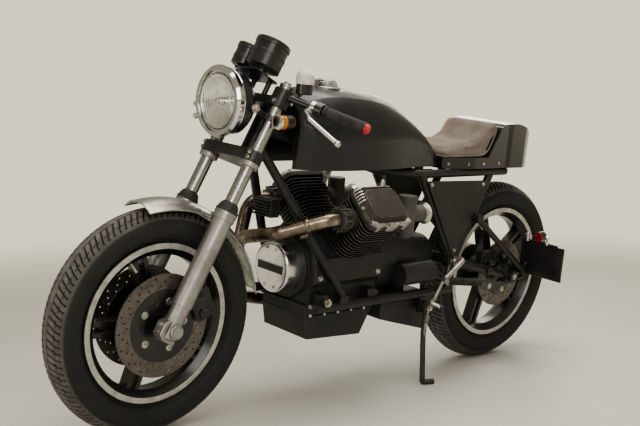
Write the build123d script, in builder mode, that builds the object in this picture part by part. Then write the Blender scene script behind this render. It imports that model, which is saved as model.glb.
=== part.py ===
from build123d import *
from math import cos, radians, sin
import os

# Cafe racer motorcycle with a transverse 90 degree V-twin and shaft drive, on its side stand.
# Every piece is drawn on the upright motorcycle in millimetres: X forward from the rear axle,
# Y to the rider's left, Z up from the ground. The finished pieces then lean onto the stand.

# Whole machine
wheelbase = 1500.0
lean = 8.7
rake = 27.0
slip = 0.05
gap = 0.3

# Wheels: radius and width of the tyres, radius and half width of the rim lips
front_tyre_r = 324.0
front_tyre_w = 112.0
front_lip_r = 228.0
front_rim_half = 37.0
rear_tyre_r = 337.0
rear_tyre_w = 122.0
rear_lip_r = 244.0
rear_rim_half = 47.0
lip_height = 12.0
rim_depth = 34.0
spoke_count = 5
spoke_pair_gap = 15.0
spoke_rib = 13.0
spoke_half_depth = 19.0
hub_r = 46.0
front_hub_half = 50.0
rear_hub_half = 60.0
axle_r = 9.0
disc_thickness = 5.0
front_disc_r = 148.0
rear_disc_r = 125.0
disc_band = 44.0
carrier_thickness = 7.5

# Fork and steering, heights measured along the fork from the front axle
fork_spread = 190.0
fork_offset = 55.0
stanchion_r = 19.0
slider_r = 29.0
slider_top = 358.0
seal_height = 20.0
lower_yoke_z = 512.0
lower_yoke_t = 33.0
upper_yoke_z = 686.0
upper_yoke_t = 25.0
yoke_eye_r = 29.0
stem_r = 15.0
head_wall = 14.0
stanchion_top = 752.0
clip_height = 30.0

# Handlebars: where the left bar leaves its clamp and how it runs to its end
bar_r = 11.0
bar_run = (-106.0, 237.0, -63.0)
grip_r = 16.5
grip_length = 128.0

# Lamps and gauges
lamp_front_x = 1331.0
lamp_z = 941.0
lamp_r = 103.0
lamp_shell_r = 94.0
lamp_shell_depth = 86.0
lamp_rim_depth = 24.0

# Frame
tube_r = 14.0
rail_r = 15.0
pivot_x = 357.0
pivot_z = 423.0
frame_y = 115.0
rail_y = 144.0
rail_z = 335.0
seat_rail_z = 733.0
strut_face = 129.0
strut_top = (264.0, 574.0)
strut_foot = (-30.0, 366.0)
tank_floor = 756.0

# Engine: crank axis height, cylinder places along the machine and distances from the crank
crank_z = 440.0
bank = 45.0
left_cylinder_x = 848.0
right_cylinder_x = 822.0
case_front_x = 1006.0
case_rear_x = 715.0
deck = 120.0
barrel_top = 222.0
head_top = 288.0
cover_top = 328.0
fin_count = 8
fin_t = 3.0
alternator_r = 79.0
alternator_front_x = 1078.0

# Side stand
stand_pivot_x = 505.0
stand_pivot_z = 286.0
stand_boss = 18.0
stand_pin_r = 7.0


rear_axle = Vector(0, 0, rear_tyre_r)
front_axle_at = Vector(wheelbase, 0, front_tyre_r)
fork = Plane(front_axle_at, x_dir=(cos(radians(rake)), 0, sin(radians(rake))),
             z_dir=(-sin(radians(rake)), 0, cos(radians(rake))))
bar_start = fork.from_local_coords(Vector(0, fork_spread / 2, upper_yoke_z + upper_yoke_t + clip_height / 2))
bar_end = bar_start + Vector(*bar_run)
peg_tip = Vector(392, 288, 392)

# The lean puts the origin under the middle of the machine's box
left_reach = (bar_end.Y + grip_r) * cos(radians(lean)) + bar_end.Z * sin(radians(lean))
right_reach = -peg_tip.Y * cos(radians(lean)) + peg_tip.Z * sin(radians(lean))
box_middle_x = (wheelbase + front_tyre_r - rear_tyre_r) / 2
box_middle_y = (left_reach + right_reach) / 2
crown_lift = front_tyre_w / 2 * (1 - cos(radians(lean)))
parked = Location((-box_middle_x, -box_middle_y, crown_lift), (-lean, 0, 0))

os.makedirs("parts", exist_ok=True)


def write(piece, label):
    """Lean a finished piece onto the stand and write it."""
    leaned = piece.part.moved(parked)
    leaned.label = label
    export_step(leaned, f"parts/{label}.step")


def both(points, side):
    """The points of the left side, or their mirror on the right."""
    return [(x, side * y, z) for x, y, z in points]


def tube(points, radius, bend=0.0):
    """Round tube along straight runs joined by bends."""
    with BuildLine() as route:
        if bend:
            FilletPolyline(*points, radius=bend)
        else:
            Polyline(*points)
    with BuildSketch(Plane(route.line @ 0, z_dir=route.line % 0)) as section:
        Circle(radius)
    sweep(section.sketch, path=route.line)


def cross_rod(x, z, radius, y_from, y_to, mode=Mode.ADD):
    """Round bar across the machine between two sideways places."""
    with Locations((x, (y_from + y_to) / 2, z)):
        Cylinder(radius, abs(y_to - y_from), rotation=(90, 0, 0), mode=mode)


def wheel_section(axle):
    """Plane through an axle, its x sideways and its y away from the axle."""
    return Plane(axle, x_dir=(0, 1, 0), z_dir=(1, 0, 0))


def cast_wheel(axle, lip_r, rim_half, hub_half):
    """Cast wheel: rim, hub and pairs of spoke ribs."""
    seat_r = lip_r - lip_height
    well_r = lip_r - rim_depth
    with BuildPart() as wheel:
        with BuildSketch(wheel_section(axle)):
            with BuildLine():
                Polyline((-rim_half, lip_r), (-rim_half + 4, lip_r), (-rim_half + 8, seat_r),
                         (rim_half - 8, seat_r), (rim_half - 4, lip_r), (rim_half, lip_r),
                         (rim_half, lip_r - 16), (spoke_half_depth, well_r),
                         (-spoke_half_depth, well_r), (-rim_half, lip_r - 16), close=True)
            make_face()
        revolve(axis=Axis(axle, (0, 1, 0)))
        cross_rod(axle.X, axle.Z, hub_r, -hub_half, hub_half)
        with BuildSketch(Plane(axle, x_dir=(1, 0, 0), z_dir=(0, -1, 0))):
            with PolarLocations(0, spoke_count):
                with Locations((well_r / 2 + hub_r / 4, spoke_pair_gap), (well_r / 2 + hub_r / 4, -spoke_pair_gap)):
                    Rectangle(well_r - hub_r / 2 + 4, spoke_rib)
        extrude(amount=spoke_half_depth, both=True)
        cross_rod(axle.X, axle.Z, axle_r + slip, -hub_half, hub_half, Mode.SUBTRACT)
    return wheel


def road_tyre(axle, tyre_r, tyre_w, lip_r, rim_half):
    """Tyre with a round crown, seated between the rim's lips."""
    bead = rim_half - 9
    seat_r = lip_r - lip_height + gap
    shoulder = tyre_w * 0.43
    with BuildPart() as tyre:
        with BuildSketch(wheel_section(axle)):
            with BuildLine():
                Line((-bead, seat_r), (bead, seat_r))
                Line((bead, seat_r), (bead, lip_r + 3))
                ThreePointArc((bead, lip_r + 3), (tyre_w / 2, (lip_r + tyre_r) / 2 + 4), (shoulder, tyre_r - 24))
                ThreePointArc((shoulder, tyre_r - 24), (0, tyre_r), (-shoulder, tyre_r - 24))
                ThreePointArc((-shoulder, tyre_r - 24), (-tyre_w / 2, (lip_r + tyre_r) / 2 + 4), (-bead, lip_r + 3))
                Line((-bead, lip_r + 3), (-bead, seat_r))
            make_face()
        revolve(axis=Axis(axle, (0, 1, 0)))
    return tyre


def brake_disc(axle, radius, faces):
    """Brake discs on dished carriers that sit on the hub's ends; faces are their hub sides."""
    with BuildPart() as discs:
        for face in faces:
            side = 1 if face > 0 else -1
            outer = face + side * carrier_thickness
            cross_rod(axle.X, axle.Z, radius - disc_band + 6, face, outer)
            cross_rod(axle.X, axle.Z, radius, outer - side * disc_thickness, outer)
            cross_rod(axle.X, axle.Z, hub_r * 0.7, face, outer, Mode.SUBTRACT)
    return discs


# Rear wheel

rear_wheel = cast_wheel(rear_axle, rear_lip_r, rear_rim_half, rear_hub_half)
write(rear_wheel, "rear_wheel")
rear_tyre = road_tyre(rear_axle, rear_tyre_r, rear_tyre_w, rear_lip_r, rear_rim_half)
write(rear_tyre, "rear_tyre")
rear_disc = brake_disc(rear_axle, rear_disc_r, [rear_hub_half])
write(rear_disc, "rear_disc")

# Front wheel

front_wheel = cast_wheel(front_axle_at, front_lip_r, front_rim_half, front_hub_half)
write(front_wheel, "front_wheel")
front_tyre = road_tyre(front_axle_at, front_tyre_r, front_tyre_w, front_lip_r, front_rim_half)
write(front_tyre, "front_tyre")
front_discs = brake_disc(front_axle_at, front_disc_r, [front_hub_half, -front_hub_half])
write(front_discs, "front_discs")

# Fork: sliders, stanchions and yokes on the fork's own plane

with BuildPart() as fork_sliders:
    for side in (1, -1):
        leg = (0, side * fork_spread / 2)
        for low, high, radius in [
            (-26.0, 70.0, 26.0),
            (70.0, slider_top - 26.0, slider_r),
            (slider_top - 26.0, slider_top, slider_r + 3.0),
            (slider_top, slider_top + seal_height, slider_r - 2.0),
        ]:
            with BuildSketch(fork.offset(low)):
                with Locations(leg):
                    Circle(radius)
            extrude(amount=high - low)
    cross_rod(front_axle_at.X, front_axle_at.Z, axle_r + slip, -150, 150, Mode.SUBTRACT)
write(fork_sliders, "fork_sliders")

with BuildPart() as stanchions:
    with BuildSketch(fork.offset(slider_top + seal_height)):
        with Locations((0, fork_spread / 2), (0, -fork_spread / 2)):
            Circle(stanchion_r)
    extrude(amount=stanchion_top - slider_top - seal_height)
write(stanchions, "stanchions")


def yoke_plate(height, thickness):
    """Triangular fork yoke with its two eyes and its stem boss."""
    with BuildSketch(fork.offset(height)) as outline:
        with Locations((0, fork_spread / 2), (0, -fork_spread / 2)):
            Circle(yoke_eye_r)
        with Locations((-fork_offset, 0)):
            Circle(yoke_eye_r + 3)
        make_hull()
    extrude(outline.sketch, amount=thickness)
    with BuildSketch(fork.offset(height)) as bores:
        with Locations((0, fork_spread / 2), (0, -fork_spread / 2)):
            Circle(stanchion_r + slip)
    extrude(bores.sketch, amount=thickness, mode=Mode.SUBTRACT)


with BuildPart() as lower_yoke:
    yoke_plate(lower_yoke_z, lower_yoke_t)
    with BuildSketch(fork.offset(lower_yoke_z)):
        with Locations((-fork_offset, 0)):
            Circle(stem_r)
    extrude(amount=upper_yoke_z + upper_yoke_t - lower_yoke_z)
write(lower_yoke, "lower_yoke")

with BuildPart() as upper_yoke:
    yoke_plate(upper_yoke_z, upper_yoke_t)
    with BuildSketch(fork.offset(upper_yoke_z)):
        with Locations((-fork_offset, 0)):
            Circle(stem_r + slip)
    extrude(amount=upper_yoke_t, mode=Mode.SUBTRACT)
write(upper_yoke, "upper_yoke")

axle_half = fork_spread / 2 + slider_r + 6
with BuildPart() as front_axle:
    cross_rod(front_axle_at.X, front_axle_at.Z, axle_r, -axle_half, axle_half)
    for side in (1, -1):
        cross_rod(front_axle_at.X, front_axle_at.Z, axle_r + 5, side * (fork_spread / 2 + slider_r - 2.9), side * axle_half)
write(front_axle, "front_axle")

# Front brake calipers behind the fork legs, each with a slot that the disc turns in

disc_mid = front_hub_half + carrier_thickness - disc_thickness / 2
with BuildPart() as front_calipers:
    for side in (1, -1):
        with BuildSketch(Plane(front_axle_at + Vector(0, side * (disc_mid + 13), 0), x_dir=(1, 0, 0), z_dir=(0, -side, 0))):
            with PolarLocations(front_disc_r - 14, 1, start_angle=side * 158):
                RectangleRounded(66, 92, 12)
        extrude(amount=26)
        with Locations((front_axle_at.X - 74, side * (disc_mid + 19), front_axle_at.Z + 60)):
            Box(90, 24, 34)
        cross_rod(front_axle_at.X, front_axle_at.Z, front_disc_r + 6, side * (disc_mid - 7.5), side * (disc_mid + 7.5), Mode.SUBTRACT)
    with BuildSketch(fork):
        with Locations((0, fork_spread / 2), (0, -fork_spread / 2)):
            Circle(slider_r + slip)
    extrude(amount=slider_top, mode=Mode.SUBTRACT)
write(front_calipers, "front_calipers")

# Mudguard over the front tyre, arched across and held between the fork legs

guard_r = front_tyre_r + 24.0
guard_half = fork_spread / 2 - slider_r - 3.0
guard_t = 2.5
guard_start = 78.0
guard_arc = 92.0
with BuildPart() as mudguard:
    ray = Vector(cos(radians(guard_start)), 0, sin(radians(guard_start)))
    with BuildSketch(Plane(front_axle_at, x_dir=(0, 1, 0), z_dir=Vector(0, 1, 0).cross(ray))):
        with BuildLine():
            ThreePointArc((-guard_half, guard_r - 24), (0, guard_r), (guard_half, guard_r - 24))
            Line((guard_half, guard_r - 24), (guard_half, guard_r - 24 + guard_t))
            ThreePointArc((guard_half, guard_r - 24 + guard_t), (0, guard_r + guard_t), (-guard_half, guard_r - 24 + guard_t))
            Line((-guard_half, guard_r - 24 + guard_t), (-guard_half, guard_r - 24))
        make_face()
    revolve(axis=Axis(front_axle_at, (0, -1, 0)), revolution_arc=guard_arc)
    with BuildSketch(fork.offset(guard_r - 26)):
        with Locations((0, guard_half + 3), (0, -guard_half - 3)):
            Rectangle(44, 10)
    extrude(amount=22)
    with BuildSketch(fork.offset(slider_top)):
        with Locations((0, fork_spread / 2), (0, -fork_spread / 2)):
            Circle(slider_r + 3 + slip)
    extrude(amount=-60, mode=Mode.SUBTRACT)
write(mudguard, "mudguard")

# Headlamp: bowl with two ears that clamp the fork tubes, bright rim and domed glass

lamp_back_x = lamp_front_x - lamp_rim_depth - lamp_shell_depth
lamp_section = Plane((0, 0, lamp_z), x_dir=(1, 0, 0), z_dir=(0, -1, 0))
lamp_axis = Axis((0, 0, lamp_z), (1, 0, 0))
ear_z = 640.0
ear_t = 16.0
with BuildPart() as headlamp_shell:
    with BuildSketch(lamp_section):
        with BuildLine():
            Line((lamp_back_x, 0), (lamp_front_x - lamp_rim_depth, 0))
            Line((lamp_front_x - lamp_rim_depth, 0), (lamp_front_x - lamp_rim_depth, lamp_shell_r))
            Line((lamp_front_x - lamp_rim_depth, lamp_shell_r), (lamp_front_x - lamp_rim_depth - 36, lamp_shell_r - 2))
            ThreePointArc((lamp_front_x - lamp_rim_depth - 36, lamp_shell_r - 2),
                          (lamp_back_x + 12, lamp_shell_r - 42), (lamp_back_x, 0))
        make_face()
    revolve(axis=lamp_axis)
    with BuildSketch(fork.offset(ear_z)):
        for side in (1, -1):
            with Locations((0, side * fork_spread / 2)):
                Circle(stanchion_r + 8)
            with Locations((44, side * fork_spread / 2)):
                Rectangle(88, 12)
    extrude(amount=ear_t)
    with BuildSketch(fork.offset(ear_z)):
        with Locations((0, fork_spread / 2), (0, -fork_spread / 2)):
            Circle(stanchion_r + slip)
    extrude(amount=ear_t, mode=Mode.SUBTRACT)
write(headlamp_shell, "headlamp_shell")

with BuildPart() as headlamp_rim:
    with BuildSketch(lamp_section):
        with BuildLine():
            Polyline((lamp_front_x - lamp_rim_depth, lamp_shell_r - 14), (lamp_front_x - lamp_rim_depth, lamp_r - 4),
                     (lamp_front_x - 8, lamp_r), (lamp_front_x, lamp_r - 6), (lamp_front_x, lamp_r - 16),
                     (lamp_front_x - 8, lamp_r - 18), (lamp_front_x - 8, lamp_shell_r - 14), close=True)
        make_face()
    revolve(axis=lamp_axis)
write(headlamp_rim, "headlamp_rim")

glass_r = lamp_shell_r - 14 - gap
with BuildPart() as headlamp_glass:
    with BuildSketch(lamp_section):
        with BuildLine():
            Polyline((lamp_front_x + 9, 6), (lamp_front_x + 9, 0), (lamp_front_x - lamp_rim_depth, 0),
                     (lamp_front_x - lamp_rim_depth, glass_r), (lamp_front_x - 6, glass_r))
            ThreePointArc((lamp_front_x - 6, glass_r), (lamp_front_x + 5, glass_r / 2 + 3), (lamp_front_x + 9, 6))
        make_face()
    revolve(axis=lamp_axis)
write(headlamp_glass, "headlamp_glass")

# Gauges: two cans of different size on one plate that lies on the upper yoke

gauge_floor = upper_yoke_z + upper_yoke_t
gauge_plate_z = gauge_floor + 45.0
gauge_plate_t = 4.0
with BuildPart() as gauges:
    with BuildSketch(fork.offset(gauge_floor)):
        with Locations((14, 34), (14, -34)):
            Circle(8)
    extrude(amount=gauge_plate_z - gauge_floor)
    with BuildSketch(fork.offset(gauge_plate_z)):
        with Locations((45, 0)):
            RectangleRounded(92, 116, 14)
    extrude(amount=gauge_plate_t)
    for x, y, radius, depth in [(73.0, 52.0, 50.0, 78.0), (68.0, -50.0, 34.0, 62.0)]:
        with BuildSketch(fork.offset(gauge_plate_z)):
            with Locations((x, y)):
                Circle(radius * 0.3)
        extrude(amount=gauge_plate_t + 10)
        with BuildSketch(fork.offset(gauge_plate_z + gauge_plate_t + 10)):
            with Locations((x, y)):
                Circle(radius)
        extrude(amount=depth)
write(gauges, "gauges")

# Clip-on handlebars above the upper yoke, their rubber grips and the two hand levers

grip_start = Vector(*bar_run).length - grip_length


def bar_plane(side, along=0.0):
    """Plane across a handlebar, its z along the bar from the clamp to the end."""
    run = Vector(bar_run[0], side * bar_run[1], bar_run[2])
    start = Vector(bar_start.X, side * bar_start.Y, bar_start.Z)
    return Plane(start + run.normalized() * along, x_dir=Vector(0, 0, 1).cross(run), z_dir=run)


with BuildPart() as handlebars:
    for side in (1, -1):
        with BuildSketch(fork.offset(gauge_floor)):
            with Locations((0, side * fork_spread / 2)):
                Circle(stanchion_r + 9)
        extrude(amount=clip_height)
        with BuildSketch(bar_plane(side)):
            Circle(bar_r)
        extrude(amount=Vector(*bar_run).length)
        with BuildSketch(fork.offset(gauge_floor)):
            with Locations((0, side * fork_spread / 2)):
                Circle(stanchion_r + slip)
        extrude(amount=clip_height, mode=Mode.SUBTRACT)
write(handlebars, "handlebars")

with BuildPart() as grips:
    for side in (1, -1):
        with BuildSketch(bar_plane(side, grip_start)):
            Circle(grip_r)
            Circle(bar_r + slip, mode=Mode.SUBTRACT)
        extrude(amount=grip_length)
write(grips, "grips")


def hand_lever(side):
    """Lever on its perch, which clamps the bar inside the grip."""
    perch = bar_plane(side, grip_start - 42)
    root = perch.origin + Vector(30, 4 * side, -12)
    tip = root + Vector(-2, 142 * side, -72)
    with BuildSketch(perch) as clamp:
        Circle(bar_r + 8)
    extrude(clamp.sketch, amount=30)
    tube([perch.origin + Vector(0, 8 * side, -6), root, root + Vector(20, 44 * side, -16), tip], 6.5, 12)
    with Locations(tip):
        Sphere(9.5)


def perch_bore(side):
    """Clear the handlebar through a perch."""
    with BuildSketch(bar_plane(side, grip_start - 70)) as bore:
        Circle(bar_r + slip)
    extrude(bore.sketch, amount=70, mode=Mode.SUBTRACT)


with BuildPart() as clutch_lever:
    hand_lever(1)
    perch_bore(1)
write(clutch_lever, "clutch_lever")

with BuildPart() as brake_lever:
    hand_lever(-1)
    cup = bar_plane(-1, grip_start - 28).origin + Vector(6, 0, 34)
    with Locations(cup):
        Cylinder(21, 34)
    with Locations(cup - Vector(3, 0, 20)):
        Box(22, 22, 18)
    perch_bore(-1)
write(brake_lever, "brake_lever")

# Front indicators on stalks beside the lamp's ears

with BuildPart() as indicators:
    for side in (1, -1):
        ear = fork.from_local_coords(Vector(0, side * (fork_spread / 2 + stanchion_r + 8), ear_z + ear_t / 2))
        cross_rod(ear.X, ear.Z, 6, ear.Y, ear.Y + side * 20)
        with Locations((ear.X, ear.Y + side * 34, ear.Z)):
            Cylinder(20, 46, rotation=(0, 90, 0))
write(indicators, "indicators")

# Main frame: head tube, backbone, down tubes, seat rails, uprights and rear stays

with BuildPart() as main_frame:
    with BuildSketch(fork.offset(lower_yoke_z + lower_yoke_t + 2)):
        with Locations((-fork_offset, 0)):
            Circle(stem_r + head_wall)
    extrude(amount=upper_yoke_z - lower_yoke_z - lower_yoke_t - 4)
    head_top_at = fork.from_local_coords(Vector(-fork_offset, 0, upper_yoke_z - 46))
    head_low_at = fork.from_local_coords(Vector(-fork_offset, 0, lower_yoke_z + lower_yoke_t + 40))
    for side in (1, -1):
        tube(both([(head_top_at.X - 6, 20, head_top_at.Z), (700, 50, 738), (540, 112, seat_rail_z),
                   (96, 104, seat_rail_z)], side), tube_r, 120)
        tube(both([(head_low_at.X - 4, 22, head_low_at.Z), (990, rail_y, 480), (900, rail_y, rail_z + 31)], side), tube_r, 90)
        tube(both([(pivot_x, frame_y, pivot_z), (556, 110, seat_rail_z)], side), tube_r)
        tube(both([(pivot_x - 8, frame_y, pivot_z), (180, 106, seat_rail_z)], side), tube_r)
        tube(both([(pivot_x, frame_y, pivot_z), (402, rail_y, rail_z + 31)], side), tube_r)
        cross_rod(pivot_x, pivot_z, 30, side * 100, side * strut_face)
        cross_rod(strut_top[0], strut_top[1], 14, side * 104, side * strut_face)
        for x in (900, 402):
            with Locations((x, side * rail_y, rail_z + 24)):
                Box(34, 24, 16)
        with Locations((540, side * 84, (seat_rail_z + tank_floor) / 2)):
            Box(30, 14, tank_floor - seat_rail_z)
    for x, z, half in [(540, seat_rail_z, 110), (110, seat_rail_z, 104), (760, 755, 46)]:
        cross_rod(x, z, tube_r - 2, -half, half)
    with BuildSketch(fork.offset(lower_yoke_z)):
        with Locations((-fork_offset, 0)):
            Circle(stem_r + slip)
    extrude(amount=upper_yoke_z - lower_yoke_z, mode=Mode.SUBTRACT)
write(main_frame, "main_frame")

# Lower rails, bolted under the frame, with engine lugs and the side stand's bracket

with BuildPart() as lower_rails:
    for side in (1, -1):
        tube(both([(1010, rail_y, rail_z), (385, rail_y, rail_z)], side), rail_r)
        for x in (900, 402):
            with Locations((x, side * rail_y, rail_z + 8)):
                Box(34, 24, 16)
        for x in (976, 770):
            with Locations((x, side * (105 + rail_y) / 2, rail_z + 20)):
                Box(34, rail_y - 105, 40)
    with Locations((stand_pivot_x, rail_y - 6, stand_pivot_z + 18)):
        Box(52, 16, 72)
    cross_rod(stand_pivot_x, stand_pivot_z, stand_pin_r, rail_y, rail_y + 4 + stand_boss)
write(lower_rails, "lower_rails")

# Engine: crankcase with two decks, sump, alternator cover, barrels, heads and rocker covers

case_half = 105.0
case_waist = 127.0
case_floor = 335.0
with BuildPart() as crankcase:
    low = deck * sin(radians(bank)) + 42
    high = deck * sin(radians(bank)) - 42
    with BuildSketch(Plane.YZ.offset(case_rear_x)):
        with BuildLine():
            Polyline((-case_half, case_floor), (case_half, case_floor), (case_half, case_floor + 55),
                     (low, crank_z - 30), (low, crank_z + high), (high, crank_z + low),
                     (-high, crank_z + low), (-low, crank_z + high), (-low, crank_z - 30),
                     (-case_half, case_floor + 55), close=True)
        make_face()
    extrude(amount=case_front_x - case_rear_x)
    with BuildSketch(Plane.YZ.offset(case_front_x)):
        with Locations((0, crank_z)):
            Circle(alternator_r + 18)
    extrude(amount=14)
write(crankcase, "crankcase")

with BuildPart() as alternator_cover:
    with BuildSketch(Plane.YZ.offset(case_front_x + 14)):
        with Locations((0, crank_z)):
            Circle(alternator_r)
    extrude(amount=alternator_front_x - case_front_x - 14)
    fillet(alternator_cover.edges().group_by(Axis.X)[-1], 9)
write(alternator_cover, "alternator_cover")

with BuildPart() as sump:
    with BuildSketch(Plane.XZ):
        with BuildLine():
            Polyline((case_rear_x + 2, case_floor), (1012, case_floor), (1012, 300), (996, 226), (765, 214),
                     (case_rear_x + 2, 305), close=True)
        make_face()
    extrude(amount=case_half - 3, both=True)
write(sump, "sump")


def bank_plane(side, x, distance):
    """Plane across a cylinder at a distance from the crank, its x along the machine."""
    out = Vector(0, side * sin(radians(bank)), cos(radians(bank)))
    return Plane(Vector(x, 0, crank_z) + out * distance, x_dir=(1, 0, 0), z_dir=out)


cylinder_rows = [("left", 1, left_cylinder_x), ("right", -1, right_cylinder_x)]
fin_pitch = (barrel_top - deck) / fin_count

for name, side, x in cylinder_rows:
    with BuildPart() as cylinder:
        with BuildSketch(bank_plane(side, x, deck)):
            Circle(55)
        extrude(amount=barrel_top - deck)
        for row in range(fin_count):
            with BuildSketch(bank_plane(side, x, deck + fin_pitch * (row + 0.5))):
                RectangleRounded(154, 138, 40)
            extrude(amount=fin_t)
    write(cylinder, f"cylinder_{name}")

    with BuildPart() as head:
        with BuildSketch(bank_plane(side, x, barrel_top)):
            RectangleRounded(128, 118, 20)
        extrude(amount=head_top - barrel_top)
        for row in range(5):
            with BuildSketch(bank_plane(side, x, barrel_top + 4 + 12 * row)):
                RectangleRounded(164, 144, 26)
            extrude(amount=fin_t)
        port = bank_plane(side, x, barrel_top + 30)
        with Locations(port.origin + Vector(88, 0, 0)):
            Cylinder(31, 40, rotation=(0, 90, 0))
        with Locations(port.origin + Vector(-84, 0, 0)):
            Cylinder(24, 60, rotation=(0, 90, 0))
    write(head, f"head_{name}")

with BuildPart() as rocker_covers:
    for name, side, x in cylinder_rows:
        with BuildSketch(bank_plane(side, x - 8, head_top)):
            RectangleRounded(178, 148, 30)
        extrude(amount=16)
        with BuildSketch(bank_plane(side, x - 8, head_top + 16)):
            RectangleRounded(158, 128, 26)
        with BuildSketch(bank_plane(side, x - 8, cover_top)):
            RectangleRounded(136, 100, 24)
        loft()
write(rocker_covers, "rocker_covers")

# Bell housing and gearbox behind the engine, starter on its left, carburettors behind the heads

gearbox_foot_z = 338.0
with BuildPart() as gearbox:
    with BuildSketch(Plane.YZ.offset(case_rear_x)):
        with Locations((0, crank_z)):
            Circle(124)
    with BuildSketch(Plane.YZ.offset(640)):
        with Locations((0, crank_z)):
            Circle(118)
    loft()
    with BuildSketch(Plane.YZ.offset(640)):
        with Locations((0, crank_z)):
            Circle(100)
    with BuildSketch(Plane.YZ.offset(404)):
        with Locations((0, crank_z - 8)):
            Circle(72)
    loft()
    with Locations((520, 0, gearbox_foot_z + 20)):
        Box(60, 60, 40)
write(gearbox, "gearbox")

with BuildPart() as starter_motor:
    with Locations((562, 136, 405)):
        Cylinder(36, 156, rotation=(0, 90, 0))
write(starter_motor, "starter_motor")

with BuildPart() as carburettors:
    for name, side, x in cylinder_rows:
        port = bank_plane(side, x, barrel_top + 30).origin
        with Locations((x - 174, port.Y, port.Z)):
            Cylinder(27, 120, rotation=(0, 90, 0))
        with Locations((x - 164, port.Y, port.Z + 6)):
            Cylinder(30, 110)
write(carburettors, "carburettors")

# Exhaust: both pipes cross to the right, join and enter a flat silencer box under the gearbox

port_z = crank_z + (barrel_top + 30) * cos(radians(bank))
port_y = (barrel_top + 30) * sin(radians(bank))
with BuildPart() as exhaust_pipes:
    tube([(left_cylinder_x + 108, port_y, port_z), (left_cylinder_x + 172, port_y, port_z), (1146, 86, 566),
          (1152, -40, 532), (1120, -168, 470), (1040, -176, 300), (900, -150, 276), (760, -128, 280),
          (691, -128, 280)], 21, 34)
    tube([(right_cylinder_x + 108, -port_y, port_z), (1040, -port_y, port_z), (1085, -172, 400)], 21, 60)
write(exhaust_pipes, "exhaust_pipes")

with BuildPart() as silencer_box:
    with BuildSketch(Plane.XZ.offset(-118)):
        with BuildLine():
            Polyline((691, 308), (691, 256), (472, 196), (405, 268), (405, 308), close=True)
        make_face()
    extrude(amount=118 + 154)
    with Locations((520, 0, (300 + gearbox_foot_z) / 2)):
        Box(60, 60, gearbox_foot_z - 300)
    with Locations((400, -90, 285)):
        Cylinder(20, 60, rotation=(0, 90, 0))
write(silencer_box, "silencer_box")

# Fuel tank over the backbone, with a tunnel, knee hollows and a filler cap

tank_rows = [
    # place x, half width at the floor, widest half width, its z, shoulder half width, shoulder z, top z
    (1090.0, 84.0, 92.0, 850.0, 66.0, 936.0, 958.0),
    (1045.0, 118.0, 132.0, 850.0, 86.0, 960.0, 986.0),
    (900.0, 142.0, 152.0, 850.0, 92.0, 972.0, 996.0),
    (740.0, 138.0, 140.0, 850.0, 84.0, 956.0, 984.0),
    (600.0, 112.0, 110.0, 840.0, 66.0, 914.0, 942.0),
    (500.0, 96.0, 92.0, 800.0, 60.0, 846.0, 868.0),
    (452.0, 90.0, 84.0, 772.0, 60.0, 788.0, 800.0),
]
cap_x = 917.0
cap_r = 36.0
cap_seat_z = 990.0
cap_t = 18.0
with BuildPart() as fuel_tank:
    for x, floor_half, wide_half, wide_z, shoulder_half, shoulder_z, top in tank_rows:
        with BuildSketch(Plane.YZ.offset(x)):
            with BuildLine():
                Line((-floor_half, tank_floor), (floor_half, tank_floor))
                Line((floor_half, tank_floor), (wide_half, wide_z))
                bulge = ((wide_half + shoulder_half) / 2 + 9, (wide_z + shoulder_z) / 2 + 7)
                ThreePointArc((wide_half, wide_z), bulge, (shoulder_half, shoulder_z))
                ThreePointArc((shoulder_half, shoulder_z), (0, top), (-shoulder_half, shoulder_z))
                ThreePointArc((-shoulder_half, shoulder_z), (-bulge[0], bulge[1]), (-wide_half, wide_z))
                Line((-wide_half, wide_z), (-floor_half, tank_floor))
            make_face()
    loft()
    with BuildSketch(Plane.XZ):
        with BuildLine():
            Polyline((430, 740), (1130, 740), (1130, 920), (1080, 905), (700, 790), (560, 768), (430, 768), close=True)
        make_face()
    extrude(amount=72, both=True, mode=Mode.SUBTRACT)
    with Locations((cap_x, 0, cap_seat_z)):
        Cylinder(cap_r + gap, 60, align=(Align.CENTER, Align.CENTER, Align.MIN), mode=Mode.SUBTRACT)
write(fuel_tank, "fuel_tank")

with BuildPart() as fuel_cap:
    with Locations((cap_x, 0, cap_seat_z)):
        Cylinder(cap_r, cap_t, align=(Align.CENTER, Align.CENTER, Align.MIN))
write(fuel_cap, "fuel_cap")

# Seat: tray and hump in one shell, with a soft pad on it

seat_deck = 786.0
cowl_floor = seat_rail_z + tube_r + gap
with BuildPart() as seat_cowl:
    with BuildSketch(Plane.XZ):
        with BuildLine():
            Polyline((446, cowl_floor), (446, seat_deck), (222, seat_deck), (158, 890))
            ThreePointArc((158, 890), (140, 900), (118, 903))
            ThreePointArc((118, 903), (-42, 850), (-88, 772))
            Polyline((-88, 772), (-70, cowl_floor), (446, cowl_floor))
        make_face()
    extrude(amount=126, both=True)
    with BuildSketch(Plane.XY.offset(700)):
        with BuildLine():
            Polyline((470, -100), (470, 100), (300, 126), (120, 120))
            ThreePointArc((120, 120), (-60, 70), (-90, 0))
            ThreePointArc((-90, 0), (-60, -70), (120, -120))
            Polyline((120, -120), (300, -126), (470, -100))
        make_face()
    extrude(amount=260, mode=Mode.INTERSECT)
write(seat_cowl, "seat_cowl")

with BuildPart() as seat_pad:
    with BuildSketch(Plane.XZ):
        with BuildLine():
            Polyline((444, seat_deck + gap), (444, 806), (330, 826))
            ThreePointArc((330, 826), (256, 842), (208, 888))
            Polyline((208, 888), (182, 908), (161, 893), (223, seat_deck + gap), (444, seat_deck + gap))
        make_face()
    extrude(amount=112, both=True)
write(seat_pad, "seat_pad")

# Triangular side plates on the frame's rear triangle

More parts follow.
